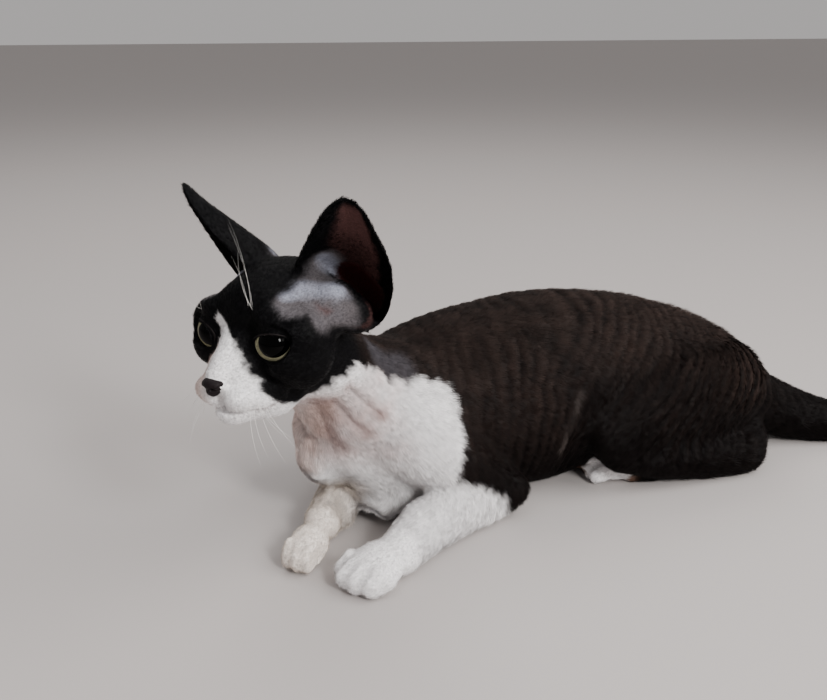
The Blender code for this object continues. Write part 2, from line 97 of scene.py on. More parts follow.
def in_head(points):
    """World metres as head millimetres."""
    return (np.asarray(points) / MM - HEAD_MIDDLE) @ HEAD_AXES.T / HEAD_SCALE


def smooth_path(points, count):
    """Rows along a Catmull-Rom curve through the given ones."""
    rows = np.array(points, float)
    rows = np.vstack([2 * rows[0] - rows[1], rows, 2 * rows[-1] - rows[-2]])
    spans = len(rows) - 3
    made = []
    for t in np.linspace(0, spans, count):
        i = min(int(t), spans - 1)
        s = t - i
        p0, p1, p2, p3 = rows[i : i + 4]
        near = 2 * p1 + (p2 - p0) * s
        far = (2 * p0 - 5 * p1 + 4 * p2 - p3) * s**2 + (3 * p1 - p0 - 3 * p2 + p3) * s**3
        made.append(0.5 * (near + far))
    return np.array(made)


def to_path(points, path):
    """Each point's distance to a broken line, and how far along the line it is, from 0 to 1."""
    lengths = np.linalg.norm(np.diff(path, axis=0), axis=1)
    starts = np.concatenate([[0], np.cumsum(lengths)])
    distance = np.full(len(points), 1e9)
    along = np.zeros(len(points))
    for k, (a, b) in enumerate(zip(path, path[1:])):
        step = b - a
        t = np.clip((points - a) @ step / max(step @ step, 1e-12), 0, 1)
        away = np.linalg.norm(points - a - t[:, None] * step, axis=1)
        closer = away < distance
        distance[closer] = away[closer]
        along[closer] = (starts[k] + t[closer] * lengths[k]) / starts[-1]
    return distance, along


def step_up(values, low, high):
    """0 below low, 1 above high, and smooth between."""
    t = np.clip((np.asarray(values, float) - low) / (high - low), 0, 1)
    return t * t * (3 - 2 * t)


print("nose tip in the world:", head_place((31, 0, -18)).round(3))

# %% [markdown]
# ## One skin over the flesh
#
# A cat has no gaps at its shoulders or ears, so the flesh solids become one surface. Each is swollen
# a little so that neighbours overlap, and a voxel remesh keeps only the outside of the heap. The
# coat's tips reach the solids' surface, so afterwards the skin is drawn in by the coat's depth.

# %% Join and remesh the flesh
FLESH = [name for name in sorted(frame["nodes"]) if not name.startswith(("eye_", "nose"))]
SKIN_GRAIN = 0.00115
EYE = (1.2, 19.6, -1.7)
EYE_LOOK = (0.93, 0.33, 0.12)
EYE_RADIUS = 11.1
LID_SLANT = 0.05


def look_axes(side):
    """The line of sight and two axes across it, in head millimetres."""
    look = np.array((EYE_LOOK[0], side * EYE_LOOK[1], EYE_LOOK[2]))
    look /= np.linalg.norm(look)
    across = np.cross((0, 0, 1), look)
    across /= np.linalg.norm(across)
    return look, across, np.cross(look, across)


def opening(turn, widen, side):
    """A point of the eye's opening, across and up in mm: a circle that the upper lid flattens."""
    x = (10.5 + widen) * math.cos(turn)
    y = ((5.9 if math.sin(turn) > 0 else 10.6) + widen) * math.sin(turn)
    if side < 0 and x < 0:
        x *= 0.84
    return x, y + LID_SLANT * x


def on_ball(x, y, radius, side):
    """The place over the eye at x outwards and y up, on a ball about the eye's middle."""
    look, across, up = look_axes(side)
    middle = np.array((EYE[0], side * EYE[1], EYE[2]))
    deep = math.sqrt(max(radius**2 - x**2 - y**2, 6.0))
    return middle + x * side * across + y * up + deep * look


def add_lids(heap, side):
    """A thick shell over the eyeball, all round the opening, for both lids."""
    count, rows = 56, 7
    shells = []
    for radius, reach in ((12.7, 12.3), (10.6, 10.4)):
        shell = []
        for k in range(rows):
            share = k / (rows - 1)
            row = []
            for j in range(count):
                turn = 2 * math.pi * j / count
                x, y = opening(turn, -1.3, side)
                size = math.hypot(x, y)
                grown = 1 + share * (max(reach, size) / size - 1)
                row.append(heap.verts.new(head_place(on_ball(x * grown, y * grown, radius, side))))
            shell.append(row)
        shells.append(shell)
    outer, inner = shells
    loop = outer + inner[::-1]
    for near, far in zip(loop, loop[1:] + loop[:1]):
        for j in range(count):
            after = (j + 1) % count
            heap.faces.new((near[j], near[after], far[after], far[j]))


def swollen_heap(names, swell):
    """The nodes' meshes in one, each with its points welded and pushed out, and the lids."""
    heap = bmesh.new()
    for name in names:
        piece = bmesh.new()
        piece.from_mesh(frame["nodes"][name].data)
        bmesh.ops.remove_doubles(piece, verts=piece.verts, dist=1e-6)
        piece.normal_update()
        moves = [(vert, vert.normal.copy()) for vert in piece.verts]
        for vert, normal in moves:
            vert.co += normal * swell
        mesh = bpy.data.meshes.new("piece")
        piece.to_mesh(mesh)
        piece.free()
        heap.from_mesh(mesh)
        bpy.data.meshes.remove(mesh)
    for side_name, side in SIDES:
        lids = bmesh.new()
        add_lids(lids, side)
        bmesh.ops.recalc_face_normals(lids, faces=lids.faces)
        mesh = bpy.data.meshes.new("lids")
        lids.to_mesh(mesh)
        lids.free()
        heap.from_mesh(mesh)
        bpy.data.meshes.remove(mesh)
    made = bpy.data.meshes.new("heap")
    heap.to_mesh(made)
    heap.free()
    return made


def after_modifier(mesh, kind, **settings):
    """The mesh as one modifier leaves it."""
    obj = bpy.data.objects.new("work", mesh)
    bpy.context.scene.collection.objects.link(obj)
    modifier = obj.modifiers.new("one", kind)
    for key, value in settings.items():
        setattr(modifier, key, value)
    bpy.context.view_layer.update()
    graph = bpy.context.evaluated_depsgraph_get()
    made = bpy.data.meshes.new_from_object(obj.evaluated_get(graph))
    bpy.data.objects.remove(obj)
    return made


def points_of(mesh):
    points = np.empty(len(mesh.vertices) * 3)
    mesh.vertices.foreach_get("co", points)
    return points.reshape(-1, 3)


def place_points(mesh, points):
    mesh.vertices.foreach_set("co", np.asarray(points, float).ravel())
    mesh.update()


def normals_of(mesh):
    normals = np.empty(len(mesh.vertices) * 3)
    mesh.vertex_normals.foreach_get("vector", normals)
    return normals.reshape(-1, 3)


def edges_of(mesh):
    pairs = np.empty(len(mesh.edges) * 2, np.int32)
    mesh.edges.foreach_get("vertices", pairs)
    return pairs.reshape(-1, 2)


heap = swollen_heap(FLESH + ["nose"], 0.00035)
skin_mesh = after_modifier(heap, "REMESH", mode="VOXEL", voxel_size=SKIN_GRAIN)
print("remeshed skin:", len(skin_mesh.vertices), "points")

# %% [markdown]
# The face carries detail finer than the voxels, such as lips and lids, so its faces are split once
# more. Then the whole skin is relaxed, strongly over the cuts of the body and weakly on the face,
# ears and toes, where the form would melt away.

# %% Finer faces on the face, and a relaxed surface
def split_face_region(mesh):
    bm = bmesh.new()
    bm.from_mesh(mesh)
    bm.verts.ensure_lookup_table()
    local = in_head([v.co for v in bm.verts])
    chosen = (local[:, 0] > -4) & (abs(local[:, 1]) < 36) & (local[:, 2] > -46) & (local[:, 2] < 16)
    edges = [e for e in bm.edges if chosen[e.verts[0].index] and chosen[e.verts[1].index]]
    bmesh.ops.subdivide_edges(bm, edges=edges, cuts=1, use_grid_fill=True)
    bm.to_mesh(mesh)
    bm.free()


def relaxed(points, pairs, weight, rounds, back=0.0):
    """Each point moved towards the mean of its neighbours, and a share back so that it keeps its size."""
    count = len(points)
    a, b = pairs[:, 0], pairs[:, 1]
    degree = np.bincount(a, minlength=count) + np.bincount(b, minlength=count)
    for step in range(rounds * (2 if back else 1)):
        total = np.empty_like(points)
        for k in range(3):
            total[:, k] = np.bincount(a, points[b, k], count) + np.bincount(b, points[a, k], count)
        way = -back if back and step % 2 else 1.0
        points = points + (total / degree[:, None] - points) * way * weight[:, None]
    return points


def soft_noise(places, size, seed):
    """Smooth noise from -1 to 1 whose lumps are about size across."""
    grid = np.asarray(places) / size
    cell = np.floor(grid).astype(np.int64)
    part = grid - cell
    part = part * part * (3 - 2 * part)
    total = np.zeros(len(grid))
    for corner in np.ndindex(2, 2, 2):
        at = cell + corner
        mixed = (at[:, 0] * 73856093) ^ (at[:, 1] * 19349663) ^ (at[:, 2] * 83492791) ^ (seed * 265443)
        mixed = ((mixed ^ (mixed >> 13)) * 1274126177) & 0xFFFFFFFF
        value = ((mixed ^ (mixed >> 16)) & 0xFFFF) / 32767.5 - 1
        total += value * np.prod(np.where(corner, part, 1 - part), axis=1)
    return total


split_face_region(skin_mesh)
pairs = edges_of(skin_mesh)
points = points_of(skin_mesh)
print("split skin:", len(points), "points")

# %% [markdown]
# An ear is a curved sheet between two edges, so a chart of it, how far up and how far across, tells
# later steps where the bare inside is and where the furred back is.

# %% A chart of the ears and of the body's parts
EAR_INNER_EDGE = ((-24, 10, 12), (-20, 16, 24), (-17, 22, 32), (-13, 34, 46), (-12.5, 45, 59.5))
EAR_INNER_EDGE = smooth_path(EAR_INNER_EDGE + ((-14.5, 50.5, 65), (-17.5, 54.5, 67.5)), 90)
EAR_OUTER_EDGE = ((-46, 36, -14), (-48, 47, -4), (-47, 54, 8), (-40, 61, 28), (-29, 61.5, 48))
EAR_OUTER_EDGE = smooth_path(EAR_OUTER_EDGE + ((-23, 60.5, 59.5), (-19, 56.5, 66.5)), 90)
EAR_FACING = np.array((0.74, 0.62, -0.1)) / np.linalg.norm((0.74, 0.62, -0.1))
WRISTS = (((-112, -86, 14), 12), ((-150, -34, 14), 12), ((-158, -50, 18), 12), ((-166, -75, 19), 4.5))
PAW_MIDDLES = np.array(((-137, -98, 12), (-170, -62, 12), (71, -33, 9), (71, 23, 9)), float)


def ear_chart(local):
    """How far each point is up its ear and across it, from 0 to 1, and its slip past the edges in mm."""
    best = np.full(len(local), 1e3)
    up, across = np.zeros(len(local)), np.zeros(len(local))
    near = np.flatnonzero((local[:, 2] + 0.55 * abs(local[:, 1]) > 8) & (local[:, 0] < 2) & (local[:, 0] > -80))
    mirrored = local[near]
    mirrored[:, 1] = abs(mirrored[:, 1])
    for k, (inner, outer) in enumerate(zip(EAR_INNER_EDGE, EAR_OUTER_EDGE)):
        span = outer - inner
        t = np.clip((mirrored - inner) @ span / (span @ span), 0, 1)
        off = mirrored - inner - t[:, None] * span
        deep = off @ EAR_FACING
        slip = np.linalg.norm(off - deep[:, None] * EAR_FACING, axis=1) + 0.1 * abs(deep)
        closer = slip < best[near]
        chosen = near[closer]
        best[chosen] = slip[closer]
        up[chosen] = k / (len(EAR_INNER_EDGE) - 1)
        across[chosen] = t[closer]
    return up, across, best


def on_parts(points):
    """Shares from 0 to 1 of head, face, ear and paw at each point."""
    local = in_head(points)
    side = abs(local[:, 1])
    head = step_up(local[:, 0], -72, -55) * step_up(local[:, 2], -62, -46)
    head = head * step_up(-side, -75, -70)
    face = step_up(local[:, 0], -14, 0) * head
    up, across, slip = ear_chart(local)
    ear = step_up(local[:, 2] + 0.55 * side, 34, 44) * step_up(-slip, -8, -4)
    paw = np.min([np.linalg.norm(points / MM - middle, axis=1) for middle in PAW_MIDDLES], axis=0)
    return head, face, ear, step_up(-paw, -36, -24)


head_share, face_share, ear_share, paw_share = on_parts(points)
stiff = np.maximum.reduce([face_share, ear_share, paw_share, 0.4 * head_share])
points = relaxed(points, pairs, 0.6 * (1 - 0.94 * stiff), 14)
points = relaxed(points, pairs, 0.6 * np.maximum.reduce([ear_share, 0.8 * head_share]), 22, 1.04)
wrist = np.min([np.linalg.norm(points / MM - middle, axis=1) / radius for middle, radius in WRISTS], axis=0)
points = relaxed(points, pairs, 0.7 * step_up(-wrist, -1.75, -1.0), 40)
jaw = np.linalg.norm((in_head(points) * (1, 1, 1) - (-44, 0, -18)) / (20, 46, 26), axis=1)
points = relaxed(points, pairs, 0.7 * step_up(-jaw, -1.1, -0.7) * (1 - ear_share), 70)
print("share on the head:", round(float(head_share.mean()), 3))

# %% [markdown]
# ## Folds, lips and ripples
#
# The coat of this breed lies in ripples across the body, like combed waves in sand. The largest are
# true form, so they are pressed into the skin here as a wave whose crests wander with soft noise.
# Lips, throat creases and the fold before the thigh are grooves along short paths on the surface.

# %% Ripples and grooves as heights in millimetres
MOUTH = ((29, 0, -25), (29, 0, -31), (27, 5, -33.5), (22, 11, -35), (14, 16, -34), (4, 20, -31))
CREASES = (
    (((-170, -91, 123), (-161, -71, 100), (-150, -55, 74)), 6.0, 2.8),
    (((-160, -89, 120), (-146, -76, 101), (-133, -68, 85)), 4.4, 2.6),
    (((-150, -92, 128), (-137, -80, 112), (-124, -68, 98)), 3.0, 1.6),
    (((-168, -30, 98), (-166, -33, 85), (-163, -43, 75), (-166, -40, 60)), 3.0, 1.2),
    (((24, -50, 85), (21, -51, 63), (24, -45, 32)), 3.6, 1.3),
    (((24, 46, 85), (21, 50, 63), (24, 45, 32)), 3.6, 1.3),
)
RIPPLE = 9.0


SHOULDER_EDGE = (
    (0, -28), (20, -36), (38, -56), (45, -75), (54, -75), (76, -68), (92, -67), (103, -74),
    (115, -100), (126, -120), (138, -138), (150, -160), (175, -200),
)


def table_at(values, table):
    keys, levels = np.array(table, float).T
    return np.interp(values, keys, levels)


def wave_at(points):
    """The ripple's phase turned into a height from -1 to 1, and its strength from 0 to 1."""
    mm = points / MM
    head, face, ear, paw = on_parts(points)
    neck_run = (mm - (-100, -25, 105)) @ np.array((0.735, 0.499, -0.46)) - 100
    slant = 0.62 * step_up(mm[:, 0], -40, 90) * step_up(-mm[:, 0], -230, -140)
    run = mm[:, 0] - slant * (mm[:, 2] - 70)
    run = run + (neck_run - run) * step_up(-mm[:, 0], 85, 125)
    wander = 6.4 * soft_noise(mm * (1, 1, 0.75), 34, 3) + 3.0 * soft_noise(mm, 13, 5)
    phase = 2 * np.pi * (run + wander) / (RIPPLE * (1 + 0.12 * soft_noise(mm, 60, 9)))
    wave = np.sin(phase)
    strength = 0.55 + 0.45 * soft_noise(mm * (1, 1, 0.6), 24, 7)
    low = step_up(mm[:, 2], 2, 16)
    fore = 1 - 0.8 * step_up(-mm[:, 0], 60, 90) * step_up(-mm[:, 2], -70, -45)
    tail = 1 - 0.55 * step_up(mm[:, 0], 190, 250)
    bib = table_at(mm[:, 2], SHOULDER_EDGE) - mm[:, 0]
    fore = fore * (1 - 0.82 * step_up(bib, -6, 8))
    front = step_up(-mm[:, 0], -15, 45)
    fore = fore * (1 - 0.62 * front)
    broken = step_up(soft_noise(mm * (1, 1, 0.45), 15, 15), -0.75, 0.1)
    fore = fore * (0.3 + 0.7 * broken) * (1 + 0.35 * step_up(mm[:, 0], 50, 110))
    return wave, strength * low * fore * tail * (1 - head) * (1 - 0.85 * paw) * (1 - ear)


def groove(points, tree, path, width, depth):
    """A rounded groove along a path that is first laid on the surface."""
    laid = np.array([tree.find_nearest(Vector(p))[0] for p in smooth_path(path, 24)])
    distance, along = to_path(points, laid)
    ends = step_up(along, 0.0, 0.12) * step_up(-along, -1.0, -0.85)
    return -depth * np.exp(-((distance / MM / width) ** 2) * 2.2) * (0.25 + 0.75 * ends)


def surface_tree(mesh, points):
    corners = [tuple(face.vertices) for face in mesh.polygons]
    return BVHTree.FromPolygons([Vector(p) for p in points], corners)


HEAD_SWELLS = (
    ((24, -13, -23), 9.0, (1.0, -3.4, 0.4)),
    ((22, 12, -25), 8.0, (0.8, 1.0, -0.2)),
    ((10, -13, 3), 7.0, (0.8, -1.6, 0.0)),
    ((-6, 16, -38), 13.0, (0.0, 1.0, -3.4)),
)
BODY_SWELLS = (
    ((198, -56, 16), 22, (-6.5, 2.0, 0.0)),
    ((-33, -56, 18), 13, (9.0, 0.5, -1.5)),
    ((-24, -57, 25), 14, (8.0, 0.0, 0.0)),
    ((-118, -102, 12), 11, (1.5, -1.0, 0.0)),
    ((-135, -116, 9), 11, (6.5, -3.5, 0.0)),
    ((-72, -62, 30), 20, (0.0, 3.0, 5.0)),
    ((-102, -76, 25), 18, (-1.0, 3.5, 5.0)),
    ((-136, -40, 24), 15, (-1.0, -2.0, -4.0)),
    ((-128, -30, 14), 15, (-1.5, -6.0, -7.0)),
    ((-108, -32, 16), 15, (-1.0, -7.0, -6.0)),
    ((-167, -104, 12), 11, (-4.0, 1.0, 0.0)),
)


def swollen(points):
    """Soft pushes, each at a place, over a radius, by so many millimetres."""
    local = in_head(points)
    shift = np.zeros_like(points)
    for middle, radius, push in HEAD_SWELLS:
        share = np.exp(-((np.linalg.norm(local - middle, axis=1) / radius) ** 2))
        shift += share[:, None] * (np.array(push) @ HEAD_AXES)
    for middle, radius, push in BODY_SWELLS:
        share = np.exp(-((np.linalg.norm(points / MM - middle, axis=1) / radius) ** 2))
        shift += share[:, None] * np.array(push)
    return points + shift * MM


points = swollen(points)
place_points(skin_mesh, points)
normals = normals_of(skin_mesh)
tree = surface_tree(skin_mesh, points)
head_share, face_share, ear_share, paw_share = on_parts(points)
COAT_DEPTH = {"body": 1.5, "head": 0.75, "ear": 0.45, "paw": 0.7}
depth = COAT_DEPTH["body"] + (COAT_DEPTH["head"] - COAT_DEPTH["body"]) * head_share
depth = depth + (COAT_DEPTH["paw"] - depth) * paw_share
depth = depth + (COAT_DEPTH["ear"] - depth) * ear_share
wave, strength = wave_at(points)
height = -0.35 - depth + 0.85 * strength * (wave - 0.35 * wave**2)
for side in (1, -1):
    path = [head_place((x, side * y, z)) for x, y, z in MOUTH]
    height += groove(points, tree, path, 1.7, 1.6)
for path, width, fold in CREASES:
    height += groove(points, tree, np.array(path, float) * MM, width, fold)
points = points + normals * height[:, None] * MM
place_points(skin_mesh, points)
print("skin drawn in by", round(float(-height.mean()), 2), "mm on average")

# %% [markdown]
# The finished skin is thinned to the size that the export keeps whole. A vertex group spares the
# face, so its small forms stay sharp.

# %% Thin the skin outside the face
SKIN_TRIANGLES = 190000


def thinned(mesh, spare, target):
    """The mesh with about target triangles, with fewer taken where spare is high."""
    obj = bpy.data.objects.new("work", mesh)
    bpy.context.scene.collection.objects.link(obj)
    group = obj.vertex_groups.new(name="thin")
    levels = np.round((1 - spare) * 8).astype(int)
    for level in range(1, 9):
        group.add(np.flatnonzero(levels == level).tolist(), level / 8, "REPLACE")
    modifier = obj.modifiers.new("thin", "DECIMATE")
    modifier.ratio = target / sum(len(face.vertices) - 2 for face in mesh.polygons)
    modifier.vertex_group = "thin"
    modifier.use_collapse_triangulate = True
    bpy.context.view_layer.update()
    graph = bpy.context.evaluated_depsgraph_get()
    made = bpy.data.meshes.new_from_object(obj.evaluated_get(graph))
    bpy.data.objects.remove(obj)
    made.vertices.update()
    return made


skin_mesh = thinned(skin_mesh, np.maximum(0.9 * face_share, 0.5 * ear_share), SKIN_TRIANGLES)
for attribute in list(skin_mesh.attributes):
    if not attribute.is_internal and not attribute.is_required:
        skin_mesh.attributes.remove(attribute)
skin_mesh.shade_smooth()
skin = bpy.data.objects.new("cat_skin", skin_mesh)
bpy.context.scene.collection.objects.link(skin)
print("skin:", len(skin_mesh.polygons), "faces,", len(skin_mesh.vertices), "points")

# %% [markdown]
# ## Markings
#
# The cat is black with a white blaze, muzzle, throat, chest, forelegs and hind toes, and its coat is
# thin and bluish before the ears. Each border is a short line in the head's or the body's own
# measures. Soft noise frays it, as hair does where two colours meet.

# %% Where the coat is white, thin or bare
BLAZE_NEAR = (
    (-46, 8), (-39, 11), (-34, 13), (-30, 17), (-25, 19), (-20.7, 17.2), (-15.4, 14.2), (-7.6, 9.5), (-3.9, 6.5),
    (1.4, 3.0), (4.9, -2), (9.4, -7.5), (11.5, -10.5), (20, -24),
)
BLAZE_FAR = (
    (-46, -13), (-39, -17), (-33, -21), (-26, -25), (-20, -25), (-14, -20), (-11.3, -17), (-4.2, -15.8),
    (4.6, -14.5), (9.5, -11.8), (11.5, -10.5), (20, 4),
)
CHEEK_EDGE = (
    (-78, -36), (-65, -33.5), (-53, -35), (-45, -37), (-35, -39), (-28, -42), (-11, -40), (0, -36.5),
    (9, -31), (16, -23),
)
HIND_TOES = np.array(((62, -40, 6), (62, 30, 6)), float)
NECK_PATCH = ((-126, -63, 138), (-115, -60, 129), (-104, -53, 124))
TEMPLE_PATHS = (
    (((-5, 25, 16), (-15, 28, 16), (-27, 36, 10)), 9.0),
    (((-12, 34, 7), (-30, 39, 5), (-34, 42, 3)), 7.5),
    (((-20, 26, 20), (-30, 24, 23), (-40, 20, 27), (-46, 21, 34)), 8.0),
    (((-42, 18, 27), (-48, 20, 21), (-50, 23, 15)), 6.0),
    (((-27, 33, 17), (-33, 37, 14)), 6.5),
)
TEMPLE_LIGHT = (((-9, 19, 20), (-20, 24, 21), (-31, 34, 17)), ((-40, 20, 29), (-48, 20, 21)))
THIGH_STRIP = ((27, -50, 84), (22, -51, 63), (17, -47, 30))


def markings(points, normals):
    """White and thin shares from 0 to 1 at each point, and its place on the ear."""
    mm = points / MM
    local = in_head(points)
    head, face, ear, paw = on_parts(points)
    fray = (1.5 * soft_noise(mm, 3.2, 21) + 0.9 * soft_noise(mm, 1.5, 22)) * (1 - 0.55 * face)
    near = table_at(local[:, 2], BLAZE_NEAR) - local[:, 1]
    far = local[:, 1] - table_at(local[:, 2], BLAZE_FAR)
    blaze = np.minimum(near, far)
    blaze = np.where(local[:, 0] > -10, blaze, -20)
    cheek = table_at(local[:, 0], CHEEK_EDGE) - local[:, 2]
    on_skull = np.maximum(blaze, cheek)
    shoulder = table_at(mm[:, 2], SHOULDER_EDGE) - mm[:, 0]
    is_skull = step_up(local[:, 0], -60, -50) * step_up(local[:, 2], -52, -44)
    edge = shoulder + (on_skull - shoulder) * is_skull
    edge = np.where(ear > 0.3, -10, edge)
    for side in (1, -1):
        look, across, up_eye = look_axes(side)
        from_eye = local - (EYE[0], side * EYE[1], EYE[2])
        off_sight = np.linalg.norm(from_eye - (from_eye @ look)[:, None] * look, axis=1)
        edge = np.where((off_sight < 12.3) & (from_eye @ look > 0), np.minimum(edge, off_sight - 12.6), edge)
    toes = np.min([np.linalg.norm(mm - middle, axis=1) for middle in HIND_TOES], axis=0)
    edge = np.maximum(edge, 17 - toes)
    neck_away = to_path(mm, np.array(NECK_PATCH, float))[0]
    edge = np.minimum(edge, neck_away - 11.5)
    white = step_up(edge + fray * (1 + 0.8 * (1 - is_skull)), -1.2, 1.2)
    thin = np.zeros(len(mm))
    sided = local * (1, 1, 1)
    sided[:, 1] = abs(local[:, 1])
    for path, radius in TEMPLE_PATHS:
        away = to_path(sided, np.array(path, float))[0] + 1.2 * soft_noise(mm, 5, 23)
        thin = np.maximum(thin, step_up(-away, -radius - 2, -radius + 3))
    rear = np.maximum(ear, step_up(-sided[:, 0], 41, 45))
    thin = thin * (1 - rear * step_up(-normals @ HEAD_AXES[0], -0.1, 0.2))
    behind = step_up(-sided[:, 0], 34.5, 38.5) * step_up(sided[:, 1], 31, 35) * step_up(-sided[:, 2], -21, -17)
    thin = thin * (1 - behind)
    thin_neck = step_up(-neck_away, -15, -6)
    thin_neck = thin_neck * (0.8 + 0.2 * soft_noise(mm, 6, 31))
    up, across, slip = ear_chart(local)
    return white, np.clip(thin, 0, 1), np.clip(thin_neck, 0, 1), up, across


white, thin, thin_neck, ear_up, ear_across = markings(points_of(skin_mesh), normals_of(skin_mesh))
print("white share:", round(float(white.mean()), 3), "thin share:", round(float(thin.mean()), 3))

# %% [markdown]
# The lie of the coat is a direction on the surface: from the nose back over the face, up the backs
# of the ears, down each leg and along the tail. Every part gives its own direction, nearer parts
# count for more, and a few rounds of smoothing join them.

# %% The lie of the coat
LIMBS = (
    (((-70, -12, 84), (-25, 0, 72), (55, 10, 66), (130, 0, 58), (195, -9, 40)), 52, (0.0, 0.0, -0.30)),
    (((-185, -89, 152), (-155, -58, 128), (-120, -28, 104), (-70, -12, 88)), 34, (0.0, 0.0, -0.35)),
    (((-114, -43, 90), (-98, -51, 72), (-68, -53, 44), (-42, -50, 18)), 24, (0.0, 0.0, -0.1)),
    (((-38, -50, 18), (-64, -62, 17), (-96, -79, 15), (-137, -98, 12), (-160, -108, 8)), 16, (0, 0, 0)),
    (((-138, 9, 82), (-132, 25, 66), (-120, 37, 42), (-108, 42, 18)), 22, (0.0, 0.0, -0.1)),
    (((-104, 41, 18), (-123, 10, 17), (-143, -20, 15), (-170, -62, 12), (-182, -82, 8)), 15, (0, 0, 0)),
    (((170, -31, 66), (136, -39, 58), (100, -45, 52), (72, -50, 46), (54, -51, 42)), 32, (0, 0, -0.25)),
    (((170, 21, 66), (136, 29, 58), (100, 35, 52), (72, 40, 46), (54, 41, 42)), 32, (0, 0, -0.25)),
    (((64, -52, 34), (106, -54, 24), (148, -56, 17), (190, -50, 16)), 15, (0, 0, 0)),
    (((64, 42, 34), (106, 44, 24), (148, 46, 17), (190, 40, 16)), 15, (0, 0, 0)),
    (((186, -49, 10), (140, -47, 8), (108, -43, 8), (71, -35, 9), (50, -30, 8)), 11, (0, 0, 0)),
    (((186, 39, 10), (140, 37, 8), (108, 33, 8), (71, 25, 9), (50, 20, 8)), 11, (0, 0, 0)),
    (((192, -11, 44), (246, -24, 22), (279, -36, 15), (325, -47, 13), (375, -47, 11), (420, -32, 9)), 17, (0, 0, 0)),
    (((420, -32, 9), (454, -4, 7), (473, 25, 5), (478, 34, 5)), 8, (0, 0, 0)),
)
NOSE_TOP = np.array((33, 0, -14), float)


def lie_of_coat(points, normals, pairs):
    """Unit directions along the surface in which the hair lies."""
    mm = points / MM
    flow = np.zeros_like(mm)
    for path, radius, droop in LIMBS:
        path = np.array(path, float)
        steps = np.gradient(path, axis=0)
        distance, along = to_path(mm, path)
        lengths = np.concatenate([[0], np.cumsum(np.linalg.norm(np.diff(path, axis=0), axis=1))])
        way = np.stack([np.interp(along, lengths / lengths[-1], steps[:, k]) for k in range(3)], axis=1)
        way = way / np.linalg.norm(way, axis=1)[:, None] + droop
        flow += way * np.exp(-np.clip(distance - radius, -8, 60) / 5.0)[:, None]
    flow /= np.linalg.norm(flow, axis=1)[:, None]
    local = in_head(points)
    head, face, ear, paw = on_parts(points)
    from_nose = local - NOSE_TOP
    from_nose[:, 0] -= 6
    from_nose /= np.linalg.norm(from_nose, axis=1)[:, None]
    from_nose += np.array((-0.6, 0, 0)) - np.array((0, 0, 0.25)) * step_up(-local[:, 2], 8, 24)[:, None]
    up_ear = EAR_INNER_EDGE[-1] - EAR_INNER_EDGE[4]
    up_ear = up_ear / np.linalg.norm(up_ear) * (1, 1, 1)
    rising = np.tile(up_ear, (len(mm), 1))
    rising[:, 1] *= np.sign(local[:, 1])
    on_head = from_nose + (rising - from_nose) * ear[:, None]
    flow = flow + (on_head @ HEAD_AXES - flow) * head[:, None]
    a, b = pairs[:, 0], pairs[:, 1]
    for _ in range(10):
        flow -= normals * (flow * normals).sum(axis=1)[:, None]
        flow /= np.linalg.norm(flow, axis=1)[:, None] + 1e-9
        total = flow * 1.0
        for k in range(3):
            total[:, k] += np.bincount(a, flow[b, k], len(flow)) + np.bincount(b, flow[a, k], len(flow))
        flow = total
    flow -= normals * (flow * normals).sum(axis=1)[:, None]
    return flow / (np.linalg.norm(flow, axis=1)[:, None] + 1e-9)


skin_points = points_of(skin_mesh)
skin_normals = normals_of(skin_mesh)
flow = lie_of_coat(skin_points, skin_normals, edges_of(skin_mesh))
print("mean lie over the back:", flow[skin_points[:, 2] > 0.13].mean(axis=0).round(2))

# %% [markdown]
# Colour and the coat's measures are stored on the skin's points. The skin's own material and every
# tuft that grows from it read the same values, so skin and coat always agree.

# %% Store colour, length, lift and thickness on the skin
BLACK = np.array((0.0060, 0.0040, 0.0036))
# The next colour is painted shade, for the ripple valleys, the lower body and the haunch.
VALLEY_SHADE = np.array((0.0030, 0.0018, 0.0018))
# The next colour is the coat's brown tone, also used as painted highlight on the ripple crests and the upper body.
CREST_BROWN_AND_HIGHLIGHT = np.array((0.046, 0.030, 0.025))
MASK = np.array((0.0022, 0.0021, 0.0026))
WHITE = np.array((0.86, 0.845, 0.85))
PINK = np.array((0.62, 0.37, 0.34))
# The next colour is pink fold skin darkened as painted shade.
FOLD_PINK_AND_SHADE = np.array((0.34, 0.21, 0.19))
LIP = np.array((0.16, 0.09, 0.085))
# The next colour is painted shade, for the front of the throat and the far side of the muzzle.
SHADE_TAN = np.array((0.55, 0.38, 0.32))
# The next colour is painted light: warm light bounced onto the far foreleg.
BOUNCE_CREAM = np.array((0.74, 0.60, 0.44))
BLUISH = np.array((0.33, 0.35, 0.43))
THIN_BROWN = np.array((0.060, 0.048, 0.044))
NECK_GREY = np.array((0.062, 0.058, 0.066))
EAR_SKIN = np.array((0.070, 0.032, 0.030))
# The next colour is red canal skin, darkened as painted shade in the deep hollow.
EAR_CANAL_SHADE = np.array((0.024, 0.004, 0.004))
TOE_SKIN = np.array((0.24, 0.14, 0.10))


def mixed(colour, other, share):
    return colour + (other - colour) * np.clip(share, 0, 1)[:, None]


EAR_FRONT = ((-27, 33, 17), (-34, 37, 14), (-35, 42, 5), (-28, 39, 3))
EAR_CANAL_PATH = ((-52, 27, 19), (-56, 31, 12), (-56, 36, 7))


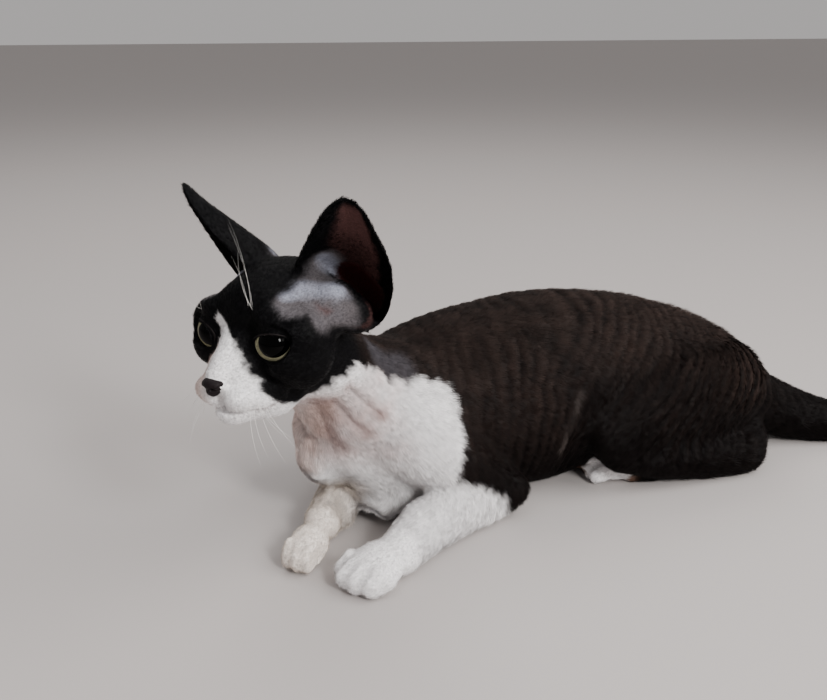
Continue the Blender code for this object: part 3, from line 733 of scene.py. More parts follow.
def inside_of_ear(points, normals):
    """The bare inner face of an ear, without its furred front, rim and back, and its dark canal."""
    local = in_head(points)
    facing = np.tile(EAR_FACING, (len(points), 1))
    facing[:, 1] *= np.sign(local[:, 1])
    toward = ((normals @ HEAD_AXES.T) * facing).sum(axis=1)
    up, across, slip = ear_chart(local)
    wobble = 0.03 * soft_noise(points / MM, 6, 51)
    band = step_up(across + wobble, 0.20, 0.40 ) * step_up(-across - wobble, -0.93, -0.82)
    tip = step_up(-up, -0.93, -0.78)
    cup = step_up(toward, 0.05, 0.35) * step_up(-slip, -3.5, -1.5) * step_up(up, 0.07, 0.13)
    sided = np.abs(local * (0, 1, 0)) + local * (1, 0, 1)
    front = to_path(sided, np.array(EAR_FRONT, float))[0]
    bare = cup * band * tip * step_up(abs(local[:, 1]), 24, 30) * step_up(front, 7.5, 10)
    canal = to_path(sided, np.array(EAR_CANAL_PATH, float))[0]
    deep = step_up(-canal, -10, -7) * step_up(front, 5, 7) * step_up(toward, -0.35, -0.05)
    return np.maximum(bare, deep), step_up(-canal, -12, -6)


wave, strength = wave_at(skin_points)
head_share, face_share, ear_share, paw_share = on_parts(skin_points)
skin_local = in_head(skin_points)
inner_ear, canal = inside_of_ear(skin_points, skin_normals)
mm = skin_points / MM
dapple = soft_noise(mm, 7, 41)
coat = np.tile(BLACK, (len(mm), 1))
# Brown mottle over the black coat, with more on the upper body as painted light from above.
upper = step_up(mm[:, 2], 40, 105) * (1 - head_share)
mottle = 0.5 + 0.5 * soft_noise(mm, 9, 42) + 0.3 * soft_noise(mm, 4, 43)
coat = mixed(coat, CREST_BROWN_AND_HIGHLIGHT, (0.15 + 0.35 * upper) * np.clip(mottle, 0, 1))
# Painted shade in the ripple valleys and painted highlight on the ripple crests.
coat = mixed(coat, VALLEY_SHADE, strength * step_up(-wave, 0.1, 0.9))
coat = mixed(coat, CREST_BROWN_AND_HIGHLIGHT, strength * step_up(wave, -0.2, 1.0) * (0.75 + 0.3 * dapple))
# Painted shade: the lower body is darkened towards the floor.
coat = mixed(coat, VALLEY_SHADE, 0.85 * step_up(-mm[:, 2], -72, -26) * (1 - head_share))
# Painted shade over the haunch and thigh, a little less on the ripple crests.
haunch_shade = step_up(mm[:, 0], 0, 30) * step_up(-mm[:, 2], -118, -78)
haunch_shade = haunch_shade * (1 - 0.75 * step_up(mm[:, 0], 120, 160) * step_up(mm[:, 2], 48, 75)) * (1 - strength * (wave > 0) * 0.35)
coat = mixed(coat, VALLEY_SHADE, 0.85 * haunch_shade)
coat = mixed(coat, MASK, head_share)
strip = step_up(-to_path(mm, np.array(THIGH_STRIP, float))[0], -4.2, -0.5)
coat = mixed(coat, THIN_BROWN, strip)
coat = mixed(coat, NECK_GREY, thin_neck)
coat = mixed(coat, THIN_BROWN, thin)
sided = skin_local * (1, 1, 1)
sided[:, 1] = abs(sided[:, 1])
light = np.max([step_up(-to_path(sided, np.array(way, float))[0], -8.5, -1.0) for way in TEMPLE_LIGHT], axis=0)
coat = mixed(coat, BLUISH, thin * np.maximum(light, 0.15) * (0.8 + 0.2 * dapple))
pale = np.tile(WHITE, (len(mm), 1))
throat = step_up(-mm[:, 0], 95, 125) * step_up(mm[:, 2], 48, 70) * (1 - head_share)
pale = mixed(pale, PINK, 0.30 * throat * (0.7 + 0.6 * dapple))
# The throat creases: pink skin in the folds, darkened as painted shade.
for path, width, fold in CREASES[:3]:
    in_fold = np.exp(-((to_path(mm, np.array(path, float))[0] / (1.5 * width)) ** 2))
    pale = mixed(pale, FOLD_PINK_AND_SHADE, 0.8 * in_fold)
# Painted shade: the front of the throat, turned away from the lamps, is tinted tan.
throat_front_shade = step_up(-mm[:, 0], 150, 164) * step_up(mm[:, 2], 40, 62) * (1 - head_share)
pale = mixed(pale, SHADE_TAN, 0.6 * throat_front_shade * (0.9 + 0.2 * dapple))
mouth_side = np.abs(skin_local * (0, 1, 0)) + skin_local * (1, 0, 1)
mouth_away = to_path(mouth_side, smooth_path(MOUTH, 24))[0]
pale = mixed(pale, LIP, 0.8 * np.exp(-((mouth_away / 1.3) ** 2)) * step_up(skin_local[:, 0], 2, 10))
# Painted shade: the far side of the muzzle is tinted tan.
muzzle_side_shade = face_share * step_up(-skin_local[:, 1], 4, 14) * step_up(-skin_local[:, 2], -2, 8)
pale = mixed(pale, SHADE_TAN, 0.7 * muzzle_side_shade)
# Painted light: warm bounced light on the far foreleg, as cream over the white.
far_leg_bounce = step_up(-mm[:, 0], 122, 138) * step_up(mm[:, 1], -92, -80) * step_up(-mm[:, 2], -44, -30)
pale = mixed(pale, BOUNCE_CREAM, 0.40 * far_leg_bounce)
coat = mixed(coat, pale, white)
hind_pad = np.min([np.linalg.norm(mm - middle, axis=1) for middle in HIND_TOES], axis=0)
coat = mixed(coat, TOE_SKIN, 0.8 * (1 - white) * step_up(-hind_pad, -25, -17) * step_up(-mm[:, 2], -13, -9))
coat = mixed(coat, EAR_SKIN, inner_ear)
# The ear canal: red skin, darkened as painted shade in the deep hollow.
coat = mixed(coat, EAR_CANAL_SHADE, inner_ear * canal)
nose_away = np.linalg.norm((skin_local - (31.5, 0.3, -18.4)) / (1, 1.2, 0.95), axis=1)
bare_nose = step_up(-nose_away, -6.0, -4.8)
furred = (1 - inner_ear) * (1 - 0.35 * thin) * (1 - bare_nose)
lift = 0.19 + 0.12 * strength * wave
lift = lift + (0.13 - lift) * head_share
fringe = step_up(-mm[:, 2], -30, -10) * step_up(mm[:, 0], -60, -45) * (1 - paw_share)
bib_fringe = step_up(-mm[:, 2], -36, -20) * step_up(mm[:, 0], -150, -135) * step_up(-mm[:, 0], 90, 100)
fringe = np.maximum(fringe, bib_fringe * step_up(mm[:, 1], -52, -44))
reach = 5.2 + 0.5 * dapple + 2.0 * fringe
reach = reach + (2.5 - reach) * head_share
reach = reach + (1.6 - reach) * face_share * step_up(skin_local[:, 0], 4, 16)
reach = reach + (2.3 - reach) * paw_share
reach = reach + (2.4 - reach) * ear_share
reach = reach * (1 - 0.3 * thin) * (1 - 0.35 * thin_neck)


def put_values(mesh, name, kind, values, field="value"):
    layer = mesh.attributes.new(name, kind, "POINT")
    layer.data.foreach_set(field, np.ascontiguousarray(values, dtype=np.float32).ravel())


put_values(skin_mesh, "coat", "FLOAT_COLOR", np.hstack([coat, np.ones((len(coat), 1))]), "color")
put_values(skin_mesh, "flow", "FLOAT_VECTOR", flow, "vector")
put_values(skin_mesh, "reach", "FLOAT", reach * MM)
put_values(skin_mesh, "lift", "FLOAT", lift)
put_values(skin_mesh, "thick", "FLOAT", furred)
put_values(skin_mesh, "bare", "FLOAT", np.maximum(inner_ear, 0.35 * throat * white))
print("coat colour from", coat.min(axis=0).round(3), "to", coat.max(axis=0).round(3))

# %% [markdown]
# Each tuft needs a place on an unwrap of the skin, so that its colour can be baked. The unwrap cuts
# the skin where it turns sharply and lays the pieces side by side.

# %% Unwrap the skin and divide it into coat pieces
def unwrap(obj):
    bpy.context.view_layer.objects.active = obj
    obj.select_set(True)
    bpy.ops.object.mode_set(mode="EDIT")
    bpy.ops.mesh.select_all(action="SELECT")
    bpy.ops.uv.smart_project(angle_limit=math.radians(62), island_margin=0.002)
    bpy.ops.object.mode_set(mode="OBJECT")
    obj.data.uv_layers.active.name = "OFBake"


COAT_PIECES = ("face", "crown", "neck", "chest", "forelegs", "shoulders", "flanks", "loin", "hindlegs", "tail")


def piece_of(points):
    """The number of the coat piece that each point belongs to."""
    local = in_head(points)
    mm = points / MM
    head, face, ear, paw = on_parts(points)
    number = np.select(
        [mm[:, 0] < -112, mm[:, 0] < -40, mm[:, 0] < 35, mm[:, 0] < 105, mm[:, 0] < 205],
        [3, 5, 6, 7, 8],
        9,
    )
    number[(mm[:, 0] < -40) & (mm[:, 2] < 36)] = 4
    number[(mm[:, 0] < -95) & (mm[:, 2] > 84)] = 2
    number[head > 0.5] = 1
    number[(head > 0.5) & (local[:, 0] > -12)] = 0
    return number


unwrap(skin)
skin_mesh = skin.data
middles = np.empty(len(skin_mesh.polygons) * 3)
skin_mesh.polygons.foreach_get("center", middles)
areas = np.empty(len(skin_mesh.polygons))
skin_mesh.polygons.foreach_get("area", areas)
zones = piece_of(middles.reshape(-1, 3))
layer = skin_mesh.attributes.new("zone", "INT", "FACE")
layer.data.foreach_set("value", zones.astype(np.int32))
zone_areas = np.bincount(zones, areas, len(COAT_PIECES))
print("coat areas in cm2:", dict(zip(COAT_PIECES, (zone_areas * 1e4).round(0))))

# %% [markdown]
# ## Finishes
#
# Skin and coat share one idea: the stored colour, made a little lighter or darker by fine noise. That
# variation is a node group, so both materials and the nose use it with their own sizes.

# %% A node group for fine variation, and the coat's finishes
def make_variation_group():
    group = bpy.data.node_groups.new("Fine variation", "ShaderNodeTree")
    group.interface.new_socket("Colour", in_out="INPUT", socket_type="NodeSocketColor")
    group.interface.new_socket("Size", in_out="INPUT", socket_type="NodeSocketFloat")
    group.interface.new_socket("Amount", in_out="INPUT", socket_type="NodeSocketFloat")
    group.interface.new_socket("Colour", in_out="OUTPUT", socket_type="NodeSocketColor")
    group.interface.new_socket("Height", in_out="OUTPUT", socket_type="NodeSocketFloat")
    nodes, link = group.nodes, group.links.new
    start, end = nodes.new("NodeGroupInput"), nodes.new("NodeGroupOutput")
    place = nodes.new("ShaderNodeTexCoord")
    noise = nodes.new("ShaderNodeTexNoise")
    noise.inputs["Detail"].default_value = 4
    swing = nodes.new("ShaderNodeMapRange")
    swing.inputs["From Min"].default_value = 0.3
    swing.inputs["From Max"].default_value = 0.7
    low = nodes.new("ShaderNodeMath")
    low.operation = "SUBTRACT"
    low.inputs[0].default_value = 1
    high = nodes.new("ShaderNodeMath")
    high.operation = "ADD"
    high.inputs[0].default_value = 1
    scaled = nodes.new("ShaderNodeVectorMath")
    scaled.operation = "SCALE"
    link(place.outputs["Object"], noise.inputs["Vector"])
    link(start.outputs["Size"], noise.inputs["Scale"])
    link(start.outputs["Amount"], low.inputs[1])
    link(start.outputs["Amount"], high.inputs[1])
    link(noise.outputs["Fac"], swing.inputs["Value"])
    link(low.outputs[0], swing.inputs["To Min"])
    link(high.outputs[0], swing.inputs["To Max"])
    link(start.outputs["Colour"], scaled.inputs[0])
    link(swing.outputs["Result"], scaled.inputs["Scale"])
    link(scaled.outputs["Vector"], end.inputs["Colour"])
    link(noise.outputs["Fac"], end.inputs["Height"])
    return group


VARIATION = make_variation_group()


def plain_material(name, roughness, **settings):
    """A new material with its Principled shader set, and that shader."""
    material = bpy.data.materials.new(name)
    material.use_nodes = True
    shader = material.node_tree.nodes["Principled BSDF"]
    shader.inputs["Roughness"].default_value = roughness
    for key, value in settings.items():
        shader.inputs[key.replace("_", " ")].default_value = value
    return material, shader


def varied(material, colour, size, amount):
    """The variation group in a material, fed by a colour."""
    tree = material.node_tree
    group = tree.nodes.new("ShaderNodeGroup")
    group.node_tree = VARIATION
    group.inputs["Size"].default_value = size
    group.inputs["Amount"].default_value = amount
    if isinstance(colour, tuple):
        group.inputs["Colour"].default_value = (*colour, 1)
    else:
        tree.links.new(colour, group.inputs["Colour"])
    return group


def attribute_node(tree, name):
    node = tree.nodes.new("ShaderNodeAttribute")
    node.attribute_name = name
    return node


def bumped(tree, shader, height, strength, distance):
    bump = tree.nodes.new("ShaderNodeBump")
    bump.inputs["Strength"].default_value = strength
    bump.inputs["Distance"].default_value = distance
    tree.links.new(height, bump.inputs["Height"])
    tree.links.new(bump.outputs["Normal"], shader.inputs["Normal"])


def make_skin_finish():
    material, shader = plain_material("Cat skin", 0.62, Specular_IOR_Level=0.07)
    tree = material.node_tree
    fine = varied(material, attribute_node(tree, "coat").outputs["Color"], 900, 0.22)
    tree.links.new(fine.outputs["Colour"], shader.inputs["Base Color"])
    bumped(tree, shader, fine.outputs["Height"], 0.35, 0.0004)
    return material


def make_coat_finish():
    """Hair: darker at the root, lighter at the tip, and each tuft its own shade."""
    material, shader = plain_material("Short wavy coat", 0.5, Specular_IOR_Level=0.06)
    tree = material.node_tree
    shade = tree.nodes.new("ShaderNodeMapRange")
    tree.links.new(attribute_node(tree, "strand").outputs["Fac"], shade.inputs["Value"])
    shade.inputs["To Min"].default_value = 0.72
    shade.inputs["To Max"].default_value = 1.22
    along = tree.nodes.new("ShaderNodeMapRange")
    tree.links.new(attribute_node(tree, "tip").outputs["Fac"], along.inputs["Value"])
    along.inputs["To Min"].default_value = 0.8
    along.inputs["To Max"].default_value = 1.1
    both = tree.nodes.new("ShaderNodeMath")
    both.operation = "MULTIPLY"
    tree.links.new(shade.outputs["Result"], both.inputs[0])
    tree.links.new(along.outputs["Result"], both.inputs[1])
    scaled = tree.nodes.new("ShaderNodeVectorMath")
    scaled.operation = "SCALE"
    tree.links.new(attribute_node(tree, "coat").outputs["Color"], scaled.inputs[0])
    tree.links.new(both.outputs[0], scaled.inputs["Scale"])
    tree.links.new(scaled.outputs["Vector"], shader.inputs["Base Color"])
    return material


SKIN_FINISH = make_skin_finish()
COAT_FINISH = make_coat_finish()
skin_mesh.materials.clear()
skin_mesh.materials.append(SKIN_FINISH)
print("finishes:", [material.name for material in bpy.data.materials])

# %% [markdown]
# ## The coat
#
# Short fur is a great many small tufts that lie along the body. One tuft is three thin bent blades.
# Geometry Nodes scatter points over one zone of the skin, turn a tuft at each so that it follows the
# lie and rises on the crests of the ripples, and make them one mesh. A tree with named inputs does
# this for every zone with the same rules.

# %% One tuft
BLADES = ((-0.11, -0.16, 0.95, 0.072), (0.0, 0.04, 1.1, 0.085), (0.11, 0.15, 0.85, 0.070))
BLADE_RISE = (0.0, 0.10, 0.08)


def tuft_object():
    """Three blades one unit long that start at the root and lie towards +X."""
    bm = bmesh.new()
    for shift, turn, length, width in BLADES:
        rows = []
        for part, thin_out in ((0.0, 1.0), (0.5, 0.8)):
            x = length * part
            y = shift + turn * x
            half = width * thin_out / 2
            z = BLADE_RISE[1] * 1.1 if part else BLADE_RISE[0]
            rows.append([bm.verts.new((x, y - half, z)), bm.verts.new((x, y + half, z))])
        tip = bm.verts.new((length, shift + turn * length * 1.2, BLADE_RISE[2]))
        bm.faces.new((rows[0][0], rows[1][0], rows[1][1], rows[0][1]))
        bm.faces.new((rows[1][0], tip, rows[1][1]))
    mesh = bpy.data.meshes.new("tuft")
    bm.to_mesh(mesh)
    bm.free()
    mesh.shade_smooth()
    places = points_of(mesh)
    put_values(mesh, "tip", "FLOAT", np.clip(places[:, 0], 0, 1))
    spot = np.stack([places[:, 0], places[:, 1] + 0.5, np.zeros(len(places))], axis=1)
    put_values(mesh, "spot", "FLOAT_VECTOR", spot - (0.5, 0.5, 0), "vector")
    return bpy.data.objects.new("tuft", mesh)


TUFT = tuft_object()
TUFT_TRIANGLES = sum(len(face.vertices) - 2 for face in TUFT.data.polygons)
print("a tuft has", TUFT_TRIANGLES, "triangles")

# %% The tree that grows the coat
BAKE_PATCH = 0.003


def named_value(tree, name, kind):
    node = tree.nodes.new("GeometryNodeInputNamedAttribute")
    node.data_type = kind
    node.inputs["Name"].default_value = name
    return node.outputs["Attribute"]


def stored(tree, geometry, name, kind, domain, value):
    node = tree.nodes.new("GeometryNodeStoreNamedAttribute")
    node.data_type = kind
    node.domain = domain
    node.inputs["Name"].default_value = name
    tree.links.new(geometry, node.inputs["Geometry"])
    tree.links.new(value, node.inputs["Value"])
    return node.outputs["Geometry"]


def random_between(tree, low, high, seed):
    node = tree.nodes.new("FunctionNodeRandomValue")
    vector = isinstance(low, tuple)
    node.data_type = "FLOAT_VECTOR" if vector else "FLOAT"
    first = 0 if vector else 2
    node.inputs[first].default_value = low
    node.inputs[first + 1].default_value = high
    node.inputs["Seed"].default_value = seed
    return node.outputs[0 if vector else 1]


def make_coat_tree():
    tree = bpy.data.node_groups.new("Grow coat", "GeometryNodeTree")
    sockets = (
        ("Geometry", "NodeSocketGeometry"),
        ("Tuft", "NodeSocketObject"),
        ("Zone", "NodeSocketInt"),
        ("Tufts per square metre", "NodeSocketFloat"),
        ("Seed", "NodeSocketInt"),
        ("Finish", "NodeSocketMaterial"),
    )
    for name, kind in sockets:
        tree.interface.new_socket(name, in_out="INPUT", socket_type=kind)
    tree.interface.new_socket("Geometry", in_out="OUTPUT", socket_type="NodeSocketGeometry")
    nodes, link = tree.nodes, tree.links.new
    start, end = nodes.new("NodeGroupInput"), nodes.new("NodeGroupOutput")

    here = nodes.new("FunctionNodeCompare")
    here.data_type = "INT"
    here.operation = "EQUAL"
    link(named_value(tree, "zone", "INT"), here.inputs[2])
    link(start.outputs["Zone"], here.inputs[3])
    number = nodes.new("ShaderNodeMath")
    number.operation = "MULTIPLY"
    link(start.outputs["Tufts per square metre"], number.inputs[0])
    link(named_value(tree, "thick", "FLOAT"), number.inputs[1])
    scatter = nodes.new("GeometryNodeDistributePointsOnFaces")
    link(start.outputs["Geometry"], scatter.inputs["Mesh"])
    link(here.outputs[0], scatter.inputs["Selection"])
    link(number.outputs[0], scatter.inputs["Density"])
    link(start.outputs["Seed"], scatter.inputs["Seed"])
    roots = scatter.outputs["Points"]
    roots = stored(tree, roots, "strand", "FLOAT", "POINT", random_between(tree, 0.0, 1.0, 4))
    roots = stored(tree, roots, "root_uv", "FLOAT_VECTOR", "POINT", named_value(tree, "OFBake", "FLOAT_VECTOR"))

    upright = nodes.new("FunctionNodeAxesToRotation")
    upright.primary_axis = "Z"
    upright.secondary_axis = "X"
    link(scatter.outputs["Normal"], upright.inputs["Primary Axis"])
    link(named_value(tree, "flow", "FLOAT_VECTOR"), upright.inputs["Secondary Axis"])
    rise = nodes.new("ShaderNodeCombineXYZ")
    lower = nodes.new("ShaderNodeMath")
    lower.operation = "MULTIPLY"
    lower.inputs[1].default_value = -1
    link(named_value(tree, "lift", "FLOAT"), lower.inputs[0])
    link(lower.outputs[0], rise.inputs["Y"])
    sway = nodes.new("ShaderNodeVectorMath")
    link(rise.outputs[0], sway.inputs[0])
    link(random_between(tree, (-0.45, -0.09, -0.24), (0.45, 0.09, 0.24), 5), sway.inputs[1])
    turn = nodes.new("FunctionNodeEulerToRotation")
    link(sway.outputs[0], turn.inputs[0])
    laid = nodes.new("FunctionNodeRotateRotation")
    laid.rotation_space = "LOCAL"
    link(upright.outputs[0], laid.inputs["Rotation"])
    link(turn.outputs[0], laid.inputs["Rotate By"])
    size = nodes.new("ShaderNodeMath")
    size.operation = "MULTIPLY"
    link(named_value(tree, "reach", "FLOAT"), size.inputs[0])
    link(random_between(tree, 0.75, 1.15, 6), size.inputs[1])

    tuft = nodes.new("GeometryNodeObjectInfo")
    link(start.outputs["Tuft"], tuft.inputs["Object"])
    grow = nodes.new("GeometryNodeInstanceOnPoints")
    link(roots, grow.inputs["Points"])
    link(tuft.outputs["Geometry"], grow.inputs["Instance"])
    link(laid.outputs[0], grow.inputs["Rotation"])
    link(size.outputs[0], grow.inputs["Scale"])
    real = nodes.new("GeometryNodeRealizeInstances")
    link(grow.outputs[0], real.inputs["Geometry"])
    patch = nodes.new("ShaderNodeVectorMath")
    patch.operation = "SCALE"
    patch.inputs["Scale"].default_value = BAKE_PATCH
    link(named_value(tree, "spot", "FLOAT_VECTOR"), patch.inputs[0])
    place = nodes.new("ShaderNodeVectorMath")
    link(named_value(tree, "root_uv", "FLOAT_VECTOR"), place.inputs[0])
    link(patch.outputs[0], place.inputs[1])
    made = stored(tree, real.outputs[0], "OFBake", "FLOAT2", "CORNER", place.outputs[0])
    finish = nodes.new("GeometryNodeSetMaterial")
    link(made, finish.inputs["Geometry"])
    link(start.outputs["Finish"], finish.inputs["Material"])
    link(finish.outputs[0], end.inputs[0])
    return tree


COAT_TREE = make_coat_tree()
print("coat tree inputs:", [item.name for item in COAT_TREE.interface.items_tree if item.in_out == "INPUT"])

# %% [markdown]
# Each zone gets as many tufts as keep its piece within the export's limit, so the small face is the
# densest and finest, and the broad body has longer tufts that cover more each.

# %% Grow every coat piece
FLOOR_GAP = 0.0002
COAT_TRIANGLES = {"face": 150000, "crown": 175000, "neck": 130000, "chest": 85000, "forelegs": 165000,
                  "shoulders": 125000, "flanks": 180000, "loin": 180000, "hindlegs": 190000, "tail": 110000}
KEPT_VALUES = ("coat", "strand", "tip", "OFBake")


def input_names(tree):
    return {item.name: item.identifier for item in tree.interface.items_tree if item.in_out == "INPUT"}


def grown_from(base, tree, name, inputs):
    """The plain mesh that a tree makes from an object, as a new object."""
    modifier = base.modifiers.new("grow", "NODES")
    modifier.node_group = tree
    identifiers = input_names(tree)
    for key, value in inputs.items():
        modifier[identifiers[key]] = value
    bpy.context.view_layer.update()
    graph = bpy.context.evaluated_depsgraph_get()
    mesh = bpy.data.meshes.new_from_object(base.evaluated_get(graph), depsgraph=graph)
    base.modifiers.remove(modifier)
    mesh.name = name
    mesh.materials.clear()
    mesh.materials.append(inputs["Finish"])
    obj = bpy.data.objects.new(name, mesh)
    bpy.context.scene.collection.objects.link(obj)
    return obj


coat_pieces = []
for number, zone in enumerate(COAT_PIECES):
    wanted = COAT_TRIANGLES[zone] / TUFT_TRIANGLES
    inputs = {
        "Tuft": TUFT,
        "Zone": number,
        "Tufts per square metre": float(wanted / zone_areas[number]),
        "Seed": 20 + number,
        "Finish": COAT_FINISH,
    }
    piece = grown_from(skin, COAT_TREE, "coat_" + zone, inputs)
    hair_points = points_of(piece.data)
    hair_points[:, 2] = np.maximum(hair_points[:, 2], FLOOR_GAP)
    place_points(piece.data, hair_points)
    for name in [item.name for item in piece.data.attributes]:
        item = piece.data.attributes[name]
        if not item.is_internal and not item.is_required and name not in KEPT_VALUES:
            piece.data.attributes.remove(item)
    coat_pieces.append(piece)
    count = sum(len(face.vertices) - 2 for face in piece.data.polygons)
    print(piece.name, count, "triangles, maps:", [layer.name for layer in piece.data.uv_layers])
bpy.data.objects.remove(TUFT)

# %% [markdown]
# ## Eyes
#
# Each eye is a ball with a slight bulge for the cornea. The wide pupil, the olive iris and its dark
# rim are rings about the line of sight, so each point stores its distance from that line, and the
# finish reads it. A glossy coat over the whole ball stands for the wet cornea.

# %% Eyes
CORNEA_BULGE = 0.7
PUPIL, IRIS = 7.6, 10.5
GAZE_TURN = {1: (0.18, 0.17), -1: (0.62, 0.10)}


def eye_object(name, side):
    look, across, up = look_axes(side)
    middle = np.array((EYE[0], side * EYE[1], EYE[2]))
    around, down = 72, 56
    bm = bmesh.new()
    rings = []
    for k in range(1, down):
        angle = math.pi * k / down
        radius = EYE_RADIUS + CORNEA_BULGE * max(0, 1 - (angle / 0.75) ** 2)
        ring = []
        for j in range(around):
            turn = 2 * math.pi * j / around
            out = math.cos(turn) * across + math.sin(turn) * up
            place = middle + radius * (math.cos(angle) * look + math.sin(angle) * out)
            ring.append(bm.verts.new(head_place(place)))
        rings.append(ring)
    front = bm.verts.new(head_place(middle + (EYE_RADIUS + CORNEA_BULGE) * look))
    back = bm.verts.new(head_place(middle - EYE_RADIUS * look))
    for j in range(around):
        after = (j + 1) % around
        bm.faces.new((front, rings[0][j], rings[0][after]))
        bm.faces.new((back, rings[-1][after], rings[-1][j]))
        for ring, below in zip(rings, rings[1:]):
            bm.faces.new((ring[j], below[j], below[after], ring[after]))
    bmesh.ops.recalc_face_normals(bm, faces=bm.faces)
    mesh = bpy.data.meshes.new(name)
    bm.to_mesh(mesh)
    bm.free()
    mesh.shade_smooth()
    local = in_head(points_of(mesh)) - middle
    forward = local @ look
    across_gaze = local @ across
    up_gaze = local @ up
    off_axis = np.hypot(across_gaze, up_gaze)
    aside, above = GAZE_TURN[side]
    off_pupil = np.hypot(across_gaze - aside * EYE_RADIUS, up_gaze - above * EYE_RADIUS)
    put_values(mesh, "off_pupil", "FLOAT", np.where(forward > 0, off_pupil, 30))
    put_values(mesh, "off_axis", "FLOAT", np.where(forward > 0, off_axis, 30))
    put_values(mesh, "round_sight", "FLOAT_VECTOR", np.stack([local @ across, local @ up, forward], axis=1), "vector")
    obj = bpy.data.objects.new(name, mesh)
    bpy.context.scene.collection.objects.link(obj)
    return obj


def make_eye_finish():
    material, shader = plain_material("Olive eye", 0.6, Specular_IOR_Level=0.0, Coat_Weight=0.5, Coat_Roughness=0.03, Coat_IOR=1.22)
    tree = material.node_tree
    nodes, link = tree.nodes, tree.links.new
    part = nodes.new("ShaderNodeMapRange")
    part.inputs["From Max"].default_value = 12
    link(attribute_node(tree, "off_axis").outputs["Fac"], part.inputs["Value"])
    ramp = nodes.new("ShaderNodeValToRGB")
    stops = (
        (0.0, (0.10, 0.095, 0.055)),
        (0.45, (0.20, 0.19, 0.115)),
        (IRIS / 12 - 0.10, (0.31, 0.30, 0.20)),
        (IRIS / 12 - 0.02, (0.24, 0.225, 0.135)),
        (IRIS / 12 + 0.015, (0.010, 0.008, 0.007)),
        (1.0, (0.012, 0.008, 0.008)),
    )
    while len(ramp.color_ramp.elements) < len(stops):
        ramp.color_ramp.elements.new(0.5)
    for element, (place, colour) in zip(ramp.color_ramp.elements, stops):
        element.position = place
        element.color = (*colour, 1)
    link(part.outputs["Result"], ramp.inputs["Fac"])
    open_pupil = nodes.new("ShaderNodeMapRange")
    open_pupil.inputs["From Min"].default_value = PUPIL - 0.15
    open_pupil.inputs["From Max"].default_value = PUPIL + 0.15
    link(attribute_node(tree, "off_pupil").outputs["Fac"], open_pupil.inputs["Value"])
    round_sight = attribute_node(tree, "round_sight").outputs["Vector"]
    flat = nodes.new("ShaderNodeVectorMath")
    flat.operation = "NORMALIZE"
    link(round_sight, flat.inputs[0])
    streaks = nodes.new("ShaderNodeTexNoise")
    streaks.inputs["Scale"].default_value = 16
    streaks.inputs["Detail"].default_value = 5
    link(flat.outputs[0], streaks.inputs["Vector"])
    swing = nodes.new("ShaderNodeMapRange")
    swing.inputs["From Min"].default_value = 0.3
    swing.inputs["From Max"].default_value = 0.7
    swing.inputs["To Min"].default_value = 0.7
    swing.inputs["To Max"].default_value = 1.3
    link(streaks.outputs["Fac"], swing.inputs["Value"])
    scaled = nodes.new("ShaderNodeVectorMath")
    scaled.operation = "SCALE"
    both = nodes.new("ShaderNodeMath")
    both.operation = "MULTIPLY"
    link(swing.outputs["Result"], both.inputs[0])
    link(open_pupil.outputs["Result"], both.inputs[1])
    link(ramp.outputs["Color"], scaled.inputs[0])
    link(both.outputs[0], scaled.inputs["Scale"])
    link(scaled.outputs["Vector"], shader.inputs["Base Color"])
    return material


EYE_FINISH = make_eye_finish()
eyes = {}
for side_name, side in SIDES:
    eyes[side_name] = eye_object("cat_eye_" + side_name, side)
    eyes[side_name].data.materials.append(EYE_FINISH)
print("eyes:", [len(eye.data.polygons) for eye in eyes.values()])

# %% [markdown]
# The lids end in a thin dark rim that touches the ball. It is a closed path just outside the eye's
# opening, swept with a round section of even thickness.

# %% Lid rims
def lid_path(side, count=72):
    turns = [2 * math.pi * k / count for k in range(count)]
    return np.array([on_ball(*opening(turn, 0.1, side), EYE_RADIUS + 0.45, side) for turn in turns])


def swept_ring(name, path, radius, sides=10):
    """A closed tube along a loop, in head millimetres."""
    bm = bmesh.new()
    middle = path.mean(axis=0)
    count = len(path)
    rows = []
    for k in range(count):
        along = path[(k + 1) % count] - path[k - 1]
        along /= np.linalg.norm(along)
        out = path[k] - middle
        out -= along * (out @ along)
        out /= np.linalg.norm(out)
        over = np.cross(along, out)
        row = []
        for j in range(sides):
            turn = 2 * math.pi * j / sides
            spot = path[k] + radius[k] * (math.cos(turn) * out + math.sin(turn) * over)
            row.append(bm.verts.new(head_place(spot)))
        rows.append(row)
    for k in range(count):
        for j in range(sides):
            after = (j + 1) % sides
            nearby = rows[(k + 1) % count]
            bm.faces.new((rows[k][j], nearby[j], nearby[after], rows[k][after]))
    bmesh.ops.recalc_face_normals(bm, faces=bm.faces)
    mesh = bpy.data.meshes.new(name)
    bm.to_mesh(mesh)
    bm.free()
    mesh.shade_smooth()
    obj = bpy.data.objects.new(name, mesh)
    bpy.context.scene.collection.objects.link(obj)
    return obj


LID_FINISH, _ = plain_material("Dark lid rim", 0.6, Specular_IOR_Level=0.15, Base_Color=(0.006, 0.004, 0.004, 1))
lids = []
for side_name, side in SIDES:
    path = lid_path(side)
    radius = np.full(len(path), 0.5)
    lid = swept_ring("lid_rim_" + side_name, path, radius)
    lid.data.materials.append(LID_FINISH)
    lids.append(lid)
print("lid rims:", [lid.name for lid in lids])

# %% [markdown]
# ## Nose leather
#
# The nose is a small cushion of bare skin between two comma-shaped nostrils. Overlapping ovals are
# joined by a fine voxel remesh, as the skin was, and each nostril is pressed in along a bent path.

